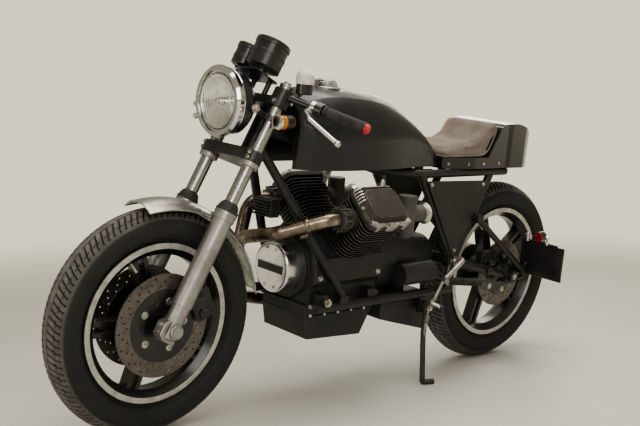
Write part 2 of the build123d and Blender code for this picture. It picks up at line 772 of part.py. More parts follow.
with BuildPart() as side_plates:
    for side in (1, -1):
        with BuildSketch(Plane.XZ.offset(-side * strut_face)):
            with BuildLine():
                Polyline((544, 712), (218, 706), (366, 436), close=True)
            make_face()
        extrude(amount=-side * 4)
write(side_plates, "side_plates")

# Swingarm with its shaft tube on the right, struts up to the frame, bevel box, axle and caliper

arm_y = 98.0
shaft_joint = Vector(96, -arm_y, 360)
shaft_run = Vector(240, -arm_y, 394) - shaft_joint
bobbin_x = 130.0
bobbin_z = 368.0
bobbin_boss_r = 13.0
bobbin_thread_r = 4.0
bobbin_depth = 20.0
bobbin_left_face = 122.0
bobbin_right_face = -128.0
with BuildPart() as swingarm:
    cross_rod(pivot_x, pivot_z, 22, -100, 100)
    tube([(pivot_x, 80.5, pivot_z), (305, 82, 410), (225, arm_y, 391), (0, arm_y, rear_axle.Z)], 16, 60)
    tube([(pivot_x, -78, pivot_z), (322, -78, 414), tuple(shaft_joint + shaft_run), tuple(shaft_joint)], 20, 50)
    cross_rod(0, rear_axle.Z, 30, 84, 116)
    cross_rod(strut_foot[0], strut_foot[1], 14, 92, strut_face)
    cross_rod(0, rear_axle.Z, axle_r + slip, 80, 120, Mode.SUBTRACT)
    for inner, outer in [(arm_y, bobbin_left_face), (-arm_y, bobbin_right_face)]:
        side = 1 if outer > 0 else -1
        cross_rod(bobbin_x, bobbin_z, bobbin_boss_r, inner, outer)
        cross_rod(bobbin_x, bobbin_z, bobbin_thread_r, outer - side * bobbin_depth, outer, Mode.SUBTRACT)
write(swingarm, "swingarm")

with BuildPart() as final_drive:
    cross_rod(0, rear_axle.Z, 80, -72, -strut_face)
    cross_rod(0, rear_axle.Z, 25, -strut_face, -142)
    tube([tuple(shaft_joint), tuple(shaft_joint - shaft_run * 0.45)], 26)
    cross_rod(0, rear_axle.Z, axle_r + slip, -72, -150, Mode.SUBTRACT)
write(final_drive, "final_drive")

with BuildPart() as rear_axle_pin:
    cross_rod(0, rear_axle.Z, axle_r, -142, 116)
    cross_rod(0, rear_axle.Z, axle_r + 6, 116, 126)
    cross_rod(0, rear_axle.Z, axle_r + 6, -142, -152)
write(rear_axle_pin, "rear_axle")

rear_disc_mid = rear_hub_half + carrier_thickness - disc_thickness / 2
with BuildPart() as rear_caliper:
    with Locations((96, rear_disc_mid + 1, rear_axle.Z + 66)):
        Box(78, 30, 56)
    with Locations((96, 92, rear_axle.Z + 53)):
        Box(30, 24, 16)
    cross_rod(0, rear_axle.Z, rear_disc_r + 6, rear_disc_mid - 7.5, rear_disc_mid + 7.5, Mode.SUBTRACT)
write(rear_caliper, "rear_caliper")

strut_y = strut_face + 12
with BuildPart() as rear_struts:
    for side in (1, -1):
        tube(both([(strut_foot[0], strut_y, strut_foot[1]), (strut_top[0], strut_y, strut_top[1])], side), 11)
        for x, z in (strut_foot, strut_top):
            cross_rod(x, z, 16, side * strut_face, side * (strut_face + 24))
write(rear_struts, "rear_struts")

# Rearsets: pegs with their brackets, gear lever on the left, brake pedal on the right

peg_base = Vector(426, 180, 374)
peg_run = (peg_tip - peg_base).normalized()
with BuildPart() as rearsets:
    for side in (1, -1):
        knee = peg_base - peg_run * 26
        tube(both([(344, strut_face, 436), (344, strut_face + 32, 436), tuple(knee), tuple(peg_base)], side), 9, 10)
        tube(both([tuple(knee), (520, 196, 326), (556, 212, 322), (540, 250, 312)], side), 6, 8)
write(rearsets, "rearsets")

with BuildPart() as footpegs:
    for side in (1, -1):
        tube(both([tuple(peg_base), tuple(peg_tip)], side), 13)
write(footpegs, "footpegs")

# Number plate on a side bracket at the rear axle, with a small round lamp

plate_x = -80.0
with BuildPart() as plate_bracket:
    with Locations((plate_x + 5, 180, 420)):
        Box(6, 150, 110)
    cross_rod(0, rear_axle.Z, 22, 126, 136)
    tube([(-12, 133, 330), (-56, 133, 330), (-62, 133, 384), (plate_x + 5, 133, 384)], 6, 7)
write(plate_bracket, "plate_bracket")

with BuildPart() as number_plate:
    with Locations((plate_x, 190, 405)):
        Box(4, 186, 126)
write(number_plate, "number_plate")

with BuildPart() as tail_lamp:
    with Locations((plate_x - 6, 170, 492)):
        Cylinder(17, 34, rotation=(0, 90, 0))
write(tail_lamp, "tail_lamp")

# Side stand: leg on a bracket under the left rail, with a curved foot on the ground



def ground_z(y, radius):
    """Height of a round bar's middle when it lies on the ground of the leaning machine."""
    return (radius - crown_lift + y * sin(radians(lean))) / cos(radians(lean))


foot_r = 9.0
boss_from = rail_y + 2 + gap
with BuildPart() as side_stand:
    cross_rod(stand_pivot_x, stand_pivot_z, 20, boss_from, boss_from + stand_boss)
    leg_y = boss_from + stand_boss / 2
    tube([(stand_pivot_x, leg_y, stand_pivot_z), (518, leg_y + 8, 200), (532, 192, 60), (532, 194, ground_z(194, foot_r)),
          (496, 214, ground_z(214, foot_r))], foot_r, 7)
    cross_rod(stand_pivot_x, stand_pivot_z, stand_pin_r + slip, boss_from - 2, boss_from + stand_boss + 4, Mode.SUBTRACT)
write(side_stand, "side_stand")
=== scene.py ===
import bmesh
import bpy
from math import atan2, cos, pi, radians, sin, sqrt
from mathutils import Matrix, Vector


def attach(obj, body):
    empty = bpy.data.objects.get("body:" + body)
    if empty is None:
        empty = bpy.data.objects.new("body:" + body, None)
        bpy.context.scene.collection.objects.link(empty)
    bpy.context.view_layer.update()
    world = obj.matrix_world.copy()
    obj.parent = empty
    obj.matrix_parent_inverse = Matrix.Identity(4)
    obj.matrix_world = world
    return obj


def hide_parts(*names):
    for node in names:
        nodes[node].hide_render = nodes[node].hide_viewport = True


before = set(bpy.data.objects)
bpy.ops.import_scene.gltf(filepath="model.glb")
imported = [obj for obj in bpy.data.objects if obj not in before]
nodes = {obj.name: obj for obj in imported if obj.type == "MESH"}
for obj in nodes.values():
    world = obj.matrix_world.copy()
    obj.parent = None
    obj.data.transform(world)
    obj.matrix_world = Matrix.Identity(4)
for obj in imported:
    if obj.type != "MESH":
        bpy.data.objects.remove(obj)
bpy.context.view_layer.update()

# Studio: a pale concrete floor that fades into haze, a soft lamp above, a fill by the camera, a rim lamp.
# The camera stands where the photograph was taken, by the front left of the parked machine.
haze_colour = (1.0, 0.94, 0.73, 1)
haze_strength = 0.95
floor_half = 30.0


def show(name, data):
    """New object in the scene."""
    shown = bpy.data.objects.new(name, data)
    bpy.context.scene.collection.objects.link(shown)
    return shown


def feed(tree, socket, value):
    """Link a socket, or set it to a value."""
    if isinstance(value, bpy.types.NodeSocket):
        tree.links.new(value, socket)
    else:
        socket.default_value = value


def put(tree, kind, **inputs):
    """New node in a tree, each named input linked or set."""
    node = tree.nodes.new(kind)
    for name, value in inputs.items():
        feed(tree, node.inputs[name.replace("_", " ")], value)
    return node


floor_mesh = bpy.data.meshes.new("studio_floor")
floor_mesh.from_pydata([(-floor_half, -floor_half, 0), (floor_half, -floor_half, 0),
    (floor_half, floor_half, 0), (-floor_half, floor_half, 0)], [], [(0, 1, 2, 3)])
studio_floor = show("studio_floor", floor_mesh)
floor_finish = bpy.data.materials.new("pale_floor")
floor_finish.use_nodes = True
tree = floor_finish.node_tree
shader = tree.nodes["Principled BSDF"]
shader.inputs["Roughness"].default_value = 0.55
place = put(tree, "ShaderNodeTexCoord").outputs["Object"]
floor_cloud = put(tree, "ShaderNodeTexNoise", Vector=place, Scale=1.7, Detail=6.0)
floor_ramp = put(tree, "ShaderNodeValToRGB", Fac=floor_cloud.outputs["Fac"])
floor_ramp.color_ramp.elements[0].color = (0.56, 0.55, 0.51, 1)
floor_ramp.color_ramp.elements[1].color = (0.72, 0.70, 0.65, 1)
tree.links.new(floor_ramp.outputs["Color"], shader.inputs["Base Color"])
floor_reach = tree.nodes.new("ShaderNodeVectorMath")
floor_reach.operation = "LENGTH"
tree.links.new(place, floor_reach.inputs[0])
floor_fade = put(tree, "ShaderNodeMapRange", Value=floor_reach.outputs["Value"], From_Min=1.6, From_Max=7.0)
floor_fade.interpolation_type = "SMOOTHSTEP"
floor_haze = put(tree, "ShaderNodeEmission", Color=haze_colour, Strength=haze_strength)
floor_blend = put(tree, "ShaderNodeMixShader", Fac=floor_fade.outputs["Result"])
tree.links.new(shader.outputs["BSDF"], floor_blend.inputs[1])
tree.links.new(floor_haze.outputs["Emission"], floor_blend.inputs[2])
tree.links.new(floor_blend.outputs["Shader"], tree.nodes["Material Output"].inputs["Surface"])
floor_mesh.materials.append(floor_finish)

studio_air = bpy.data.worlds.new("studio_air")
studio_air.use_nodes = True
tree = studio_air.node_tree
background = tree.nodes["Background"]
background.inputs["Color"].default_value = haze_colour
air_seen = tree.nodes.new("ShaderNodeLightPath").outputs["Is Camera Ray"]
air_strength = put(tree, "ShaderNodeMapRange", Value=air_seen, To_Min=0.34, To_Max=haze_strength)
tree.links.new(air_strength.outputs["Result"], background.inputs["Strength"])
bpy.context.scene.world = studio_air
bpy.context.scene.view_settings.view_transform = "AgX"
bpy.context.scene.view_settings.look = "AgX - Medium High Contrast"

studio_lamps = [
    # name, place, aim, width, depth, watts, colour
    ("overhead", (-0.3, 0.3, 3.2), (-0.1, 0.0, 0.4), 3.4, 2.0, 84, (1.0, 0.96, 0.90)),
    ("window", (2.6, 3.4, 2.2), (0.2, 0.0, 0.5), 2.2, 2.2, 58, (1.0, 0.97, 0.93)),
    ("rim", (-2.8, -1.6, 2.0), (-0.2, 0.0, 0.7), 1.6, 1.6, 24, (1.0, 0.95, 0.86)),
    ("wheel", (3.4, 0.2, 1.0), (0.9, 0.0, 0.3), 1.2, 1.4, 16, (1.0, 0.96, 0.90)),
]
for lamp_name, lamp_place, lamp_aim, lamp_width, lamp_depth, lamp_watts, lamp_colour in studio_lamps:
    lamp_data = bpy.data.lights.new(lamp_name, "AREA")
    lamp_data.shape = "RECTANGLE"
    lamp_data.size = lamp_width
    lamp_data.size_y = lamp_depth
    lamp_data.energy = lamp_watts
    lamp_data.color = lamp_colour
    lamp = show(lamp_name, lamp_data)
    lamp.location = lamp_place
    lamp.rotation_euler = (Vector(lamp_aim) - Vector(lamp_place)).to_track_quat("-Z", "Y").to_euler()

camera_yaw = radians(42.75)
camera_pitch = radians(3.49)
camera_roll = radians(-0.67)
camera_at = Vector((2.27436, 2.26331, 0.78364))
look = Vector((-sin(camera_yaw) * cos(camera_pitch), -cos(camera_yaw) * cos(camera_pitch),
    -sin(camera_pitch)))
level = Vector((-cos(camera_yaw), sin(camera_yaw), 0))
upward = level.cross(look)
camera_right = level * cos(camera_roll) + upward * sin(camera_roll)
camera_up = upward * cos(camera_roll) - level * sin(camera_roll)
camera_data = bpy.data.cameras.new("photo_camera")
camera_data.sensor_width = 36.0
camera_data.lens = 55.84
camera = show("photo_camera", camera_data)
camera.matrix_world = Matrix(((camera_right.x, camera_up.x, -look.x, camera_at.x),
    (camera_right.y, camera_up.y, -look.y, camera_at.y),
    (camera_right.z, camera_up.z, -look.z, camera_at.z), (0, 0, 0, 1)))
bpy.context.scene.camera = camera

# Frame, lower rails, swingarm and struts: welded steel tube under satin black paint.
# The paint is dusty on top, rubbed at the edges and chipped where boots and stones reach it.
lean_angle = radians(8.7)
middle_x, middle_y, crown_lift = 743.5, 128.209, 0.644


def park(x, y, z):
    """Point of the upright machine, in millimetres from the rear axle, where it stands when parked."""
    return Vector((x - middle_x, y * cos(lean_angle) + z * sin(lean_angle) - middle_y,
        z * cos(lean_angle) - y * sin(lean_angle) + crown_lift)) / 1000


def lean(x, y, z):
    """Direction of the upright machine when it leans on its stand."""
    return Vector((x, y * cos(lean_angle) + z * sin(lean_angle), z * cos(lean_angle) - y * sin(lean_angle)))


def reckon(tree, operation, *values, clamp=False):
    """Result of one sum on sockets or numbers."""
    node = tree.nodes.new("ShaderNodeMath")
    node.operation = operation
    node.use_clamp = clamp
    for socket, value in zip(node.inputs, values):
        feed(tree, socket, value)
    return node.outputs[0]


def tint(tree, share, under, over):
    """Colour over another by a share."""
    node = tree.nodes.new("ShaderNodeMix")
    node.data_type = "RGBA"
    for index, value in ((0, share), (6, under), (7, over)):
        feed(tree, node.inputs[index], value)
    return node.outputs[2]


def remap(tree, value, low, high, to_low=0.0, to_high=1.0):
    """Value stretched between two limits."""
    return put(tree, "ShaderNodeMapRange", Value=value, From_Min=low, From_Max=high, To_Min=to_low,
        To_Max=to_high).outputs["Result"]


def new_finish(name, roughness=0.5, metallic=0.0):
    """Material with its shader and the object's own coordinates."""
    finish = bpy.data.materials.new(name)
    finish.use_nodes = True
    shader = finish.node_tree.nodes["Principled BSDF"]
    shader.inputs["Roughness"].default_value = roughness
    shader.inputs["Metallic"].default_value = metallic
    place = finish.node_tree.nodes.new("ShaderNodeTexCoord")
    return finish, finish.node_tree, shader, place.outputs["Object"]


def new_group(name, inputs, outputs, kind="ShaderNodeTree"):
    """Node group with named sockets; returns it with its inputs and its output node."""
    group = bpy.data.node_groups.new(name, kind)
    for socket_name, socket_kind, value in inputs:
        socket = group.interface.new_socket(socket_name, in_out="INPUT", socket_type=socket_kind)
        if value is not None:
            socket.default_value = value
    for socket_name, socket_kind in outputs:
        group.interface.new_socket(socket_name, in_out="OUTPUT", socket_type=socket_kind)
    return group, group.nodes.new("NodeGroupInput").outputs, group.nodes.new("NodeGroupOutput")


def use_group(tree, group, **inputs):
    """Place a shader group in a material with its own values."""
    node = tree.nodes.new("ShaderNodeGroup")
    node.node_tree = group
    for name, value in inputs.items():
        feed(tree, node.inputs[name.replace("_", " ")], value)
    return node.outputs


worn_edge, given, made = new_group("worn_edge",
    [("Vector", "NodeSocketVector", None), ("Paint", "NodeSocketColor", None),
    ("Bare", "NodeSocketColor", None), ("Radius", "NodeSocketFloat", 0.0015),
    ("Wear", "NodeSocketFloat", 0.5), ("Scale", "NodeSocketFloat", 60.0)],
    [("Color", "NodeSocketColor"), ("Bare", "NodeSocketFloat"), ("Normal", "NodeSocketVector")])
rounding = put(worn_edge, "ShaderNodeBevel", Radius=given["Radius"])
rounding.samples = 6
facing = worn_edge.nodes.new("ShaderNodeNewGeometry")
turn_away = worn_edge.nodes.new("ShaderNodeVectorMath")
turn_away.operation = "DOT_PRODUCT"
worn_edge.links.new(rounding.outputs["Normal"], turn_away.inputs[0])
worn_edge.links.new(facing.outputs["Normal"], turn_away.inputs[1])
edge_amount = remap(worn_edge, turn_away.outputs["Value"], 0.985, 0.86)
rub_noise = put(worn_edge, "ShaderNodeTexNoise", Vector=given["Vector"], Scale=given["Scale"], Detail=5.0)
rub = reckon(worn_edge, "MULTIPLY", edge_amount, remap(worn_edge, rub_noise.outputs["Fac"], 0.38, 0.62))
rub = reckon(worn_edge, "MULTIPLY", rub, given["Wear"], clamp=True)
worn_edge.links.new(tint(worn_edge, rub, given["Paint"], given["Bare"]), made.inputs["Color"])
worn_edge.links.new(rub, made.inputs["Bare"])
worn_edge.links.new(rounding.outputs["Normal"], made.inputs["Normal"])

road_dust, given, made = new_group("road_dust",
    [("Vector", "NodeSocketVector", None), ("Color", "NodeSocketColor", None),
    ("Dust", "NodeSocketColor", (0.23, 0.20, 0.16, 1)), ("Amount", "NodeSocketFloat", 0.3),
    ("Scale", "NodeSocketFloat", 9.0)], [("Color", "NodeSocketColor"), ("Mask", "NodeSocketFloat")])
dust_facing = road_dust.nodes.new("ShaderNodeNewGeometry")
dust_up = put(road_dust, "ShaderNodeSeparateXYZ", Vector=dust_facing.outputs["Normal"])
dust_shelf = remap(road_dust, dust_up.outputs["Z"], -0.2, 1.0, 0.25, 1.0)
dust_cloud = put(road_dust, "ShaderNodeTexNoise", Vector=given["Vector"], Scale=given["Scale"], Detail=7.0,
    Roughness=0.65)
dust_patch = remap(road_dust, dust_cloud.outputs["Fac"], 0.36, 0.72)
dust_mask = reckon(road_dust, "MULTIPLY", dust_shelf, dust_patch)
dust_mask = reckon(road_dust, "MULTIPLY", dust_mask, given["Amount"], clamp=True)
road_dust.links.new(tint(road_dust, dust_mask, given["Color"], given["Dust"]), made.inputs["Color"])
road_dust.links.new(dust_mask, made.inputs["Mask"])

skin_grain, given, made = new_group("skin_grain",
    [("Vector", "NodeSocketVector", None), ("Scale", "NodeSocketFloat", 400.0),
    ("Low", "NodeSocketFloat", 0.3), ("High", "NodeSocketFloat", 0.5)],
    [("Height", "NodeSocketFloat"), ("Roughness", "NodeSocketFloat")])
fine_grain = put(skin_grain, "ShaderNodeTexNoise", Vector=given["Vector"], Scale=given["Scale"], Detail=3.0)
broad_grain = put(skin_grain, "ShaderNodeTexNoise", Vector=given["Vector"],
    Scale=reckon(skin_grain, "MULTIPLY", given["Scale"], 0.04), Detail=4.0)
skin_grain.links.new(fine_grain.outputs["Fac"], made.inputs["Height"])
grain_range = put(skin_grain, "ShaderNodeMapRange", Value=broad_grain.outputs["Fac"], From_Min=0.3,
    From_Max=0.7, To_Min=given["Low"], To_Max=given["High"])
skin_grain.links.new(grain_range.outputs["Result"], made.inputs["Roughness"])


def painted(name, paint, bare, wear, dust, smooth, rough, grain_scale=420.0, grain_depth=0.08,
        round_edge=0.0015, metal_below=0.8, coat=0.0):
    """Paint over metal: rounded worn edges, settled dust and a fine skin."""
    finish, tree, shader, place = new_finish(name)
    edge = use_group(tree, worn_edge, Vector=place, Paint=(*paint, 1), Bare=(*bare, 1), Radius=round_edge,
        Wear=wear)
    dusty = use_group(tree, road_dust, Vector=place, Color=edge["Color"], Amount=dust)
    skin = use_group(tree, skin_grain, Vector=place, Scale=grain_scale, Low=smooth, High=rough)
    rougher = reckon(tree, "ADD", skin["Roughness"], reckon(tree, "MULTIPLY", dusty["Mask"], 0.5),
        clamp=True)
    bump = put(tree, "ShaderNodeBump", Strength=grain_depth, Distance=0.0006, Height=skin["Height"],
        Normal=edge["Normal"])
    tree.links.new(dusty["Color"], shader.inputs["Base Color"])
    tree.links.new(rougher, shader.inputs["Roughness"])
    tree.links.new(reckon(tree, "MULTIPLY", edge["Bare"], metal_below), shader.inputs["Metallic"])
    tree.links.new(bump.outputs["Normal"], shader.inputs["Normal"])
    shader.inputs["Coat Weight"].default_value = coat
    shader.inputs["Coat Roughness"].default_value = 0.12
    return finish


def clothe(finish, *names):
    """Give CAD nodes one finish."""
    for name in names:
        nodes[name].data.materials.clear()
        nodes[name].data.materials.append(finish)


frame_paint = painted("frame_paint", (0.013, 0.013, 0.014), (0.16, 0.15, 0.14), 0.35, 0.15, 0.30, 0.46)
clothe(frame_paint, "main_frame", "lower_rails", "swingarm", "rear_struts", "plate_bracket")

# Crankcase, sump and gearbox: alloy castings under heavy black engine paint, split by bolted joints.
# Flange strips close the joints, a finned block stands ahead, and hexagon bolts on washers hold the cases.
engine_paint = painted("engine_paint", (0.016, 0.016, 0.017), (0.30, 0.29, 0.27), 0.50, 0.20, 0.42, 0.62,
    grain_scale=260.0, grain_depth=0.35, round_edge=0.003)
clothe(engine_paint, "crankcase", "sump", "gearbox", "starter_motor", "silencer_box")


def stained(name, base, stains, rough=None, bump=None, metallic=0.0, roughness=0.5, edge=None, skin=None,
        tilt=0.0):
    """Finish of a base colour, with worn edges or not, under stains. A stain is a noise of scale, detail
    and roughness, then its mask's limits, its strength and colour. Three scales draw it into lines. One
    without a mask only serves rough and bump, which count through the noises; a skin comes last."""
    finish, tree, shader, place = new_finish(name, roughness, metallic)
    colour = (*base, 1)
    heights = []
    if edge:
        bare, radius, wear = edge
        worn = use_group(tree, worn_edge, Vector=place, Paint=colour, Bare=(*bare, 1), Radius=radius,
            Wear=wear)
        colour = worn["Color"]
        tree.links.new(worn["Normal"], shader.inputs["Normal"])
    for (scale, detail, soft), *mask in stains:
        spot = place
        if isinstance(scale, tuple):
            drawn_out = put(tree, "ShaderNodeMapping", Vector=place, Rotation=(0, tilt, 0), Scale=scale)
            spot, scale = drawn_out.outputs["Vector"], 1.0
        noise = put(tree, "ShaderNodeTexNoise", Vector=spot, Scale=scale, Detail=detail, Roughness=soft)
        heights.append(noise.outputs["Fac"])
        if mask:
            low, high, strength, stain = mask
            colour = tint(tree, remap(tree, heights[-1], low, high, 0.0, strength), colour, (*stain, 1))
    tree.links.new(colour, shader.inputs["Base Color"])
    if skin:
        grain = use_group(tree, skin_grain, Vector=place, Scale=skin[0], Low=skin[1], High=skin[2])
        heights.append(grain["Height"])
        tree.links.new(grain["Roughness"], shader.inputs["Roughness"])
    if rough:
        index, smooth, dull = rough
        tree.links.new(remap(tree, heights[index], 0.3, 0.7, smooth, dull), shader.inputs["Roughness"])
    if bump:
        index, strength, distance = bump
        relief = put(tree, "ShaderNodeBump", Strength=strength, Distance=distance, Height=heights[index])
        if edge:
            tree.links.new(worn["Normal"], relief.inputs["Normal"])
        tree.links.new(relief.outputs["Normal"], shader.inputs["Normal"])
    return finish


bolt_steel = stained("bolt_steel", (0.62, 0.61, 0.58),
    [((70.0, 4.0, 0.5), 0.42, 0.66, 1.0, (0.27, 0.22, 0.17))], metallic=1.0, skin=(900.0, 0.24, 0.52))

bolt_heads, given, made = new_group("bolt_heads",
    [("Geometry", "NodeSocketGeometry", None), ("Head height", "NodeSocketFloat", None),
    ("Washer reach", "NodeSocketFloat", None), ("Finish", "NodeSocketMaterial", None)],
    [("Geometry", "NodeSocketGeometry")], "GeometryNodeTree")
hexagon = put(bolt_heads, "GeometryNodeMeshCylinder", Vertices=6, Radius=1.0, Depth=given["Head height"])
washer = put(bolt_heads, "GeometryNodeMeshCylinder", Vertices=18, Radius=given["Washer reach"], Depth=0.3)
raise_head = put(bolt_heads, "ShaderNodeCombineXYZ",
    Z=reckon(bolt_heads, "MULTIPLY_ADD", given["Head height"], 0.5, 0.28))
head_up = put(bolt_heads, "GeometryNodeTransform", Geometry=hexagon.outputs["Mesh"],
    Translation=raise_head.outputs["Vector"])
washer_up = put(bolt_heads, "GeometryNodeTransform", Geometry=washer.outputs["Mesh"],
    Translation=(0, 0, 0.1))
one_bolt = bolt_heads.nodes.new("GeometryNodeJoinGeometry")
bolt_heads.links.new(head_up.outputs["Geometry"], one_bolt.inputs["Geometry"])
bolt_heads.links.new(washer_up.outputs["Geometry"], one_bolt.inputs["Geometry"])
toward = bolt_heads.nodes.new("GeometryNodeInputNamedAttribute")
toward.data_type = "FLOAT_VECTOR"
toward.inputs["Name"].default_value = "toward"
head_size = bolt_heads.nodes.new("GeometryNodeInputNamedAttribute")
head_size.data_type = "FLOAT"
head_size.inputs["Name"].default_value = "head_size"
aim = put(bolt_heads, "FunctionNodeAlignRotationToVector", Vector=toward.outputs["Attribute"])
aim.axis = "Z"
spread = put(bolt_heads, "GeometryNodeInstanceOnPoints", Points=given["Geometry"],
    Instance=one_bolt.outputs["Geometry"], Rotation=aim.outputs["Rotation"],
    Scale=head_size.outputs["Attribute"])
whole = put(bolt_heads, "GeometryNodeRealizeInstances", Geometry=spread.outputs["Instances"])
dressed = put(bolt_heads, "GeometryNodeSetMaterial", Geometry=whole.outputs["Geometry"],
    Material=given["Finish"])
bolt_heads.links.new(dressed.outputs["Geometry"], made.inputs["Geometry"])


def cast_off(piece):
    """Mesh of a piece with its modifiers applied."""
    view = bpy.context.evaluated_depsgraph_get()
    return bpy.data.meshes.new_from_object(piece.evaluated_get(view), depsgraph=view)


def settle(piece, body, slot_name, *replaced):
    """Make a piece a plain mesh at the origin and let it ride on a body; its slot name is not used."""
    mesh = cast_off(piece)
    mesh.name = piece.name
    done = show(piece.name + "_piece", mesh)
    name = piece.name
    bpy.data.objects.remove(piece)
    done.name = name
    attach(done, body)
    if replaced:
        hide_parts(*replaced)
    return done


def drive(piece, group, values):
    """Run a geometry group on a piece with named values."""
    modifier = piece.modifiers.new(group.name, "NODES")
    modifier.node_group = group
    for item in group.interface.items_tree:
        if item.in_out == "INPUT" and item.name in values:
            modifier[item.identifier] = values[item.name]


def bolt_set(name, rows, body, finish=bolt_steel, head_height=0.7, washer_reach=1.35,
        slot_name="bright_steel"):
    """Bolts at rows of upright place, upright direction and head radius, all in millimetres."""
    mesh = bpy.data.meshes.new(name)
    mesh.from_pydata([park(*row[0]) for row in rows], [], [])
    mesh.attributes.new("toward", "FLOAT_VECTOR", "POINT")
    mesh.attributes.new("head_size", "FLOAT", "POINT")
    for index, (_, direction, head) in enumerate(rows):
        mesh.attributes["toward"].data[index].vector = lean(*direction).normalized()
        mesh.attributes["head_size"].data[index].value = head / 1000
    mesh.materials.append(finish)
    piece = show(name, mesh)
    drive(piece, bolt_heads, {"Head height": head_height, "Washer reach": washer_reach, "Finish": finish})
    return settle(piece, body, slot_name)


def piece_from(name, points, faces, finish, bevel=0.0, smooth=False):
    """Mesh object from upright points in millimetres, with rounded edges."""
    mesh = bpy.data.meshes.new(name)
    mesh.from_pydata([park(*point) for point in points], [], faces)
    work = bmesh.new()
    work.from_mesh(mesh)
    bmesh.ops.remove_doubles(work, verts=work.verts, dist=1e-6)
    bmesh.ops.recalc_face_normals(work, faces=work.faces)
    work.to_mesh(mesh)
    work.free()
    mesh.materials.append(finish)
    for face in mesh.polygons:
        face.use_smooth = smooth
    piece = show(name, mesh)
    if bevel:
        edge = piece.modifiers.new("edge", "BEVEL")
        edge.width = bevel / 1000
        edge.segments = 2
        edge.limit_method = "ANGLE"
    return piece


def slab(name, outline, push, finish, bevel=1.0):
    """Plate of an upright outline pushed along a direction."""
    count = len(outline)
    points = list(outline) + [tuple(a + b for a, b in zip(point, push)) for point in outline]
    faces = [tuple(range(count)), tuple(range(2 * count - 1, count - 1, -1))]
    faces += [(i, (i + 1) % count, (i + 1) % count + count, i + count) for i in range(count)]
    return piece_from(name, points, faces, finish, bevel)


def join(name, pieces):
    """Several pieces as one object, their modifiers applied."""
    view = bpy.context.evaluated_depsgraph_get()
    work = bmesh.new()
    finishes = []
    for piece in pieces:
        mesh = bpy.data.meshes.new_from_object(piece.evaluated_get(view), depsgraph=view)
        shift = []
        for finish in mesh.materials:
            if finish not in finishes:
                finishes.append(finish)
            shift.append(finishes.index(finish))
        before = len(work.faces)
        work.from_mesh(mesh)
        work.faces.ensure_lookup_table()
        for face in work.faces[before:]:
            face.material_index = shift[face.material_index] if shift else 0
        bpy.data.meshes.remove(mesh)
    mesh = bpy.data.meshes.new(name)
    work.to_mesh(mesh)
    work.free()
    for finish in finishes:
        mesh.materials.append(finish)
    for piece in pieces:
        bpy.data.objects.remove(piece)
    return show(name, mesh)


sump_ledges = []
sump_rear_x = 724
ledge_rows = [
    # height, front end, half width, thickness
    (292.0, 1014.0, 106.0, 9.0),
    (328.0, 1018.0, 107.0, 7.0),
]
for ledge_z, ledge_x, ledge_half, ledge_t in ledge_rows:
    sump_ledges.append(slab("sump_ledge", [(ledge_x, ledge_half, ledge_z), (ledge_x, -ledge_half, ledge_z),
        (sump_rear_x, -ledge_half, ledge_z), (sump_rear_x, ledge_half, ledge_z)], (0, 0, ledge_t),
        engine_paint, 2.0))
settle(join("sump_ledges", sump_ledges), "chassis", "satin_black")
rectifier = [slab("rectifier_block", [(1093, -37, 602), (1128, -37, 602), (1128, -37, 658),
    (1093, -37, 658)], (0, 74, 0), engine_paint, 2.0)]
for fin in range(6):
    fin_z = 606 + fin * 9.2
    rectifier.append(slab("rectifier_fin", [(1127, -36, fin_z), (1142, -36, fin_z), (1142, -36, fin_z + 4),
        (1127, -36, fin_z + 4)], (0, 72, 0), engine_paint, 0.8))
settle(join("rectifier", rectifier), "chassis", "satin_black")
case_bolts = [((x, side * 107.2, 332), (0, side, 0), 5.5) for x in range(745, 1000, 42) for side in (1, -1)]
case_bolts += [((x, side * 104, 301), (0, side, 0.0001), 4.5) for x in range(760, 1000, 58)
    for side in (1, -1)]
case_bolts += [((case_bolt_x, side * 127.2, 425), (0, side, 0), 6.5) for case_bolt_x in (735, 985)
    for side in (1, -1)]
case_bolts += [((976, side * 160, 355), (0, side, 0), 9.5) for side in (1, -1)]
bolt_set("case_bolts", case_bolts, "chassis")

# Alternator cover on the crankshaft's nose: a turned alloy drum, polished in front and brushed round its rim.
# A dark band lies across it, blank, in a thin bright border; four cap screws hold the drum.
drum_alloy = stained("drum_alloy", (0.80, 0.80, 0.81),
    [((26.0, 5.0, 0.5), 0.5, 0.8, 0.45, (0.42, 0.40, 0.36)), (((900.0, 3.0, 3.0), 5.0, 0.5),)],
    rough=(1, 0.14, 0.34), bump=(1, 0.10, 0.0003), metallic=1.0, edge=((0.86, 0.87, 0.89), 0.002, 0.6))
clothe(drum_alloy, "alternator_cover")
crank_z = 440.0
drum_front = 1078.0
band_black = painted("band_black", (0.020, 0.020, 0.022), (0.4, 0.4, 0.4), 0.2, 0.2, 0.30, 0.42,
    round_edge=0.0006)
band_pieces = [
    slab("band_border", [(drum_front - 0.5, -62, crank_z - 15), (drum_front - 0.5, 62, crank_z - 15),
        (drum_front - 0.5, 62, crank_z + 15), (drum_front - 0.5, -62, crank_z + 15)], (1.7, 0, 0),
        drum_alloy, 0.6),
    slab("band_face", [(drum_front, -59, crank_z - 12), (drum_front, 59, crank_z - 12),
        (drum_front, 59, crank_z + 12), (drum_front, -59, crank_z + 12)], (2.0, 0, 0), band_black, 0.5),
]
settle(join("name_band", band_pieces), "chassis", "polished_alloy")
bolt_set("drum_screws", [((drum_front - 0.3, 62 * sin(radians(a)), crank_z + 62 * cos(radians(a))),
    (1, 0, 0), 4.2) for a in (20, 160, 200, 340)], "chassis", head_height=0.5, washer_reach=1.15)
